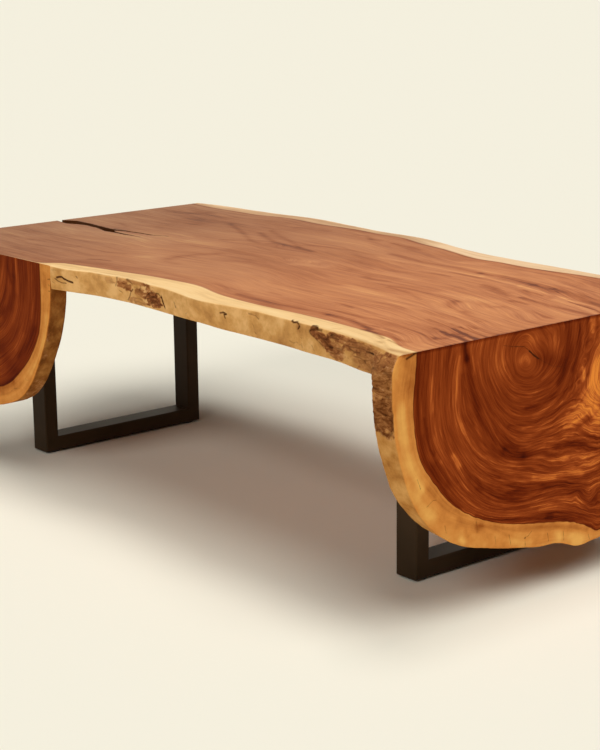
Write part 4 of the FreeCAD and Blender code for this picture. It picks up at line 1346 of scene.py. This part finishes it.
finishes = {
    "frame_steel": finish("powder_coat", (9.0, 3.0), ((0.3, 52, 38, 24), (0.7, 64, 48, 32)),
                          (0.42, 0.50), gloss=0.05, relief=(900.0, 2.0, 0.25, 0.0002)),
    "zinc_steel": finish("zinc_plate", (260.0, 4.0, 0.6),
                         ((0.3, 176, 176, 170), (0.7, 208, 208, 200)), (0.28, 0.42),
                         metal=1.0),
    "foot_plastic": finish("moulded_nylon", (1400.0, 3.0),
                           ((0.3, 28, 26, 25), (0.7, 40, 38, 36)), (0.55,),
                           relief=(1400.0, 3.0, 0.3, 0.0001)),
    "tenon_wood": finish("beech", (1.0, 4.0), ((0.3, 196, 160, 118), (0.7, 222, 190, 148)),
                         (0.6,), stretch=(40.0, 220.0, 220.0)),
}
for subpart in frame["record"]["subparts"]:
    coat = finishes.get(subpart["material_slot"])
    if coat:
        piece = frame["nodes"][subpart["node"]]
        for slot in piece.material_slots:
            slot.material = coat
        if not piece.material_slots:
            piece.data.materials.append(coat)


# Floor, light and camera

CREAM = tint(245, 239, 221)
FLOOR_REACH = 60.0
SKY = 0.075
SKY_COLOUR = (0.84, 1.0, 1.04, 1.0)

# Lamps: strength, spread, azimuth from the front, elevation
LAMPS = {
    "key": (1.88, 47.0, 86.0, 64.0),
    "front": (0.95, 22.0, 22.0, 32.6),
    "overhead": (0.74, 20.0, 212.0, 79.7),
}

# The camera's azimuth from the front, pitch and roll, its place and its lens
CAMERA_TURN = (49.874, 13.407, -0.672)
CAMERA_PLACE = (2.6618, -2.2009, 1.0519)
LENS = 88.82
SENSOR = 36.0
SIGHT = 200.0


def linked(name, data):
    """A new object in the scene."""
    made = bpy.data.objects.new(name, data)
    bpy.context.collection.objects.link(made)
    return made


def towards(azimuth, elevation):
    """The direction of a place seen from the middle. Azimuth 0 is the front."""
    return Vector((math.sin(azimuth) * math.cos(elevation),
                   -math.cos(azimuth) * math.cos(elevation), math.sin(elevation)))


def floor():
    mesh = bpy.data.meshes.new("floor")
    corners = [(x * FLOOR_REACH, y * FLOOR_REACH, 0)
               for x, y in ((-1, -1), (1, -1), (1, 1), (-1, 1))]
    mesh.from_pydata(corners, [], [(0, 1, 2, 3)])
    made = linked("floor", mesh)
    material = bpy.data.materials.new("studio_floor")
    material.use_nodes = True
    tree = material.node_tree
    tree.nodes.clear()
    node(tree, "OutputMaterial", {0: node(tree, "BsdfDiffuse", {"Color": CREAM}).outputs[0]})
    mesh.materials.append(material)


def sun(name, strength, spread, azimuth, elevation):
    """A soft lamp that shines the same everywhere."""
    lamp = bpy.data.lights.new(name, "SUN")
    lamp.energy = strength
    lamp.angle = math.radians(spread)
    back = towards(math.radians(azimuth), math.radians(elevation))
    linked(name, lamp).rotation_euler = back.to_track_quat("Z", "Y").to_euler()


def world():
    made = bpy.data.worlds.new("studio")
    bpy.context.scene.world = made
    made.use_nodes = True
    tree = made.node_tree
    tree.nodes.clear()
    path = node(tree, "LightPath").outputs
    seen = calc(tree, "MAXIMUM", path["Is Camera Ray"], path["Is Glossy Ray"])
    light = node(tree, "Background", {"Color": SKY_COLOUR, "Strength": SKY})
    backdrop = node(tree, "Background", {"Color": CREAM, "Strength": 1.0})
    both = node(tree, "MixShader", {0: seen, 1: light.outputs[0], 2: backdrop.outputs[0]})
    node(tree, "OutputWorld", {0: both.outputs[0]})


def camera():
    data = bpy.data.cameras.new("camera")
    data.sensor_width = SENSOR
    data.lens = LENS
    data.clip_end = SIGHT
    azimuth, pitch, roll = (math.radians(v) for v in CAMERA_TURN)
    back = towards(azimuth, pitch)
    level = Vector((math.cos(azimuth), math.sin(azimuth), 0.0))
    rise = back.cross(level)
    right = math.cos(roll) * level + math.sin(roll) * rise
    up = -math.sin(roll) * level + math.cos(roll) * rise
    made = linked("camera", data)
    made.matrix_world = (Matrix.Translation(CAMERA_PLACE)
                         @ Matrix((right, up, back)).transposed().to_4x4())
    bpy.context.scene.camera = made


floor()
for name, values in LAMPS.items():
    sun(name, *values)
world()
camera()
bpy.context.scene.view_settings.view_transform = "Standard"
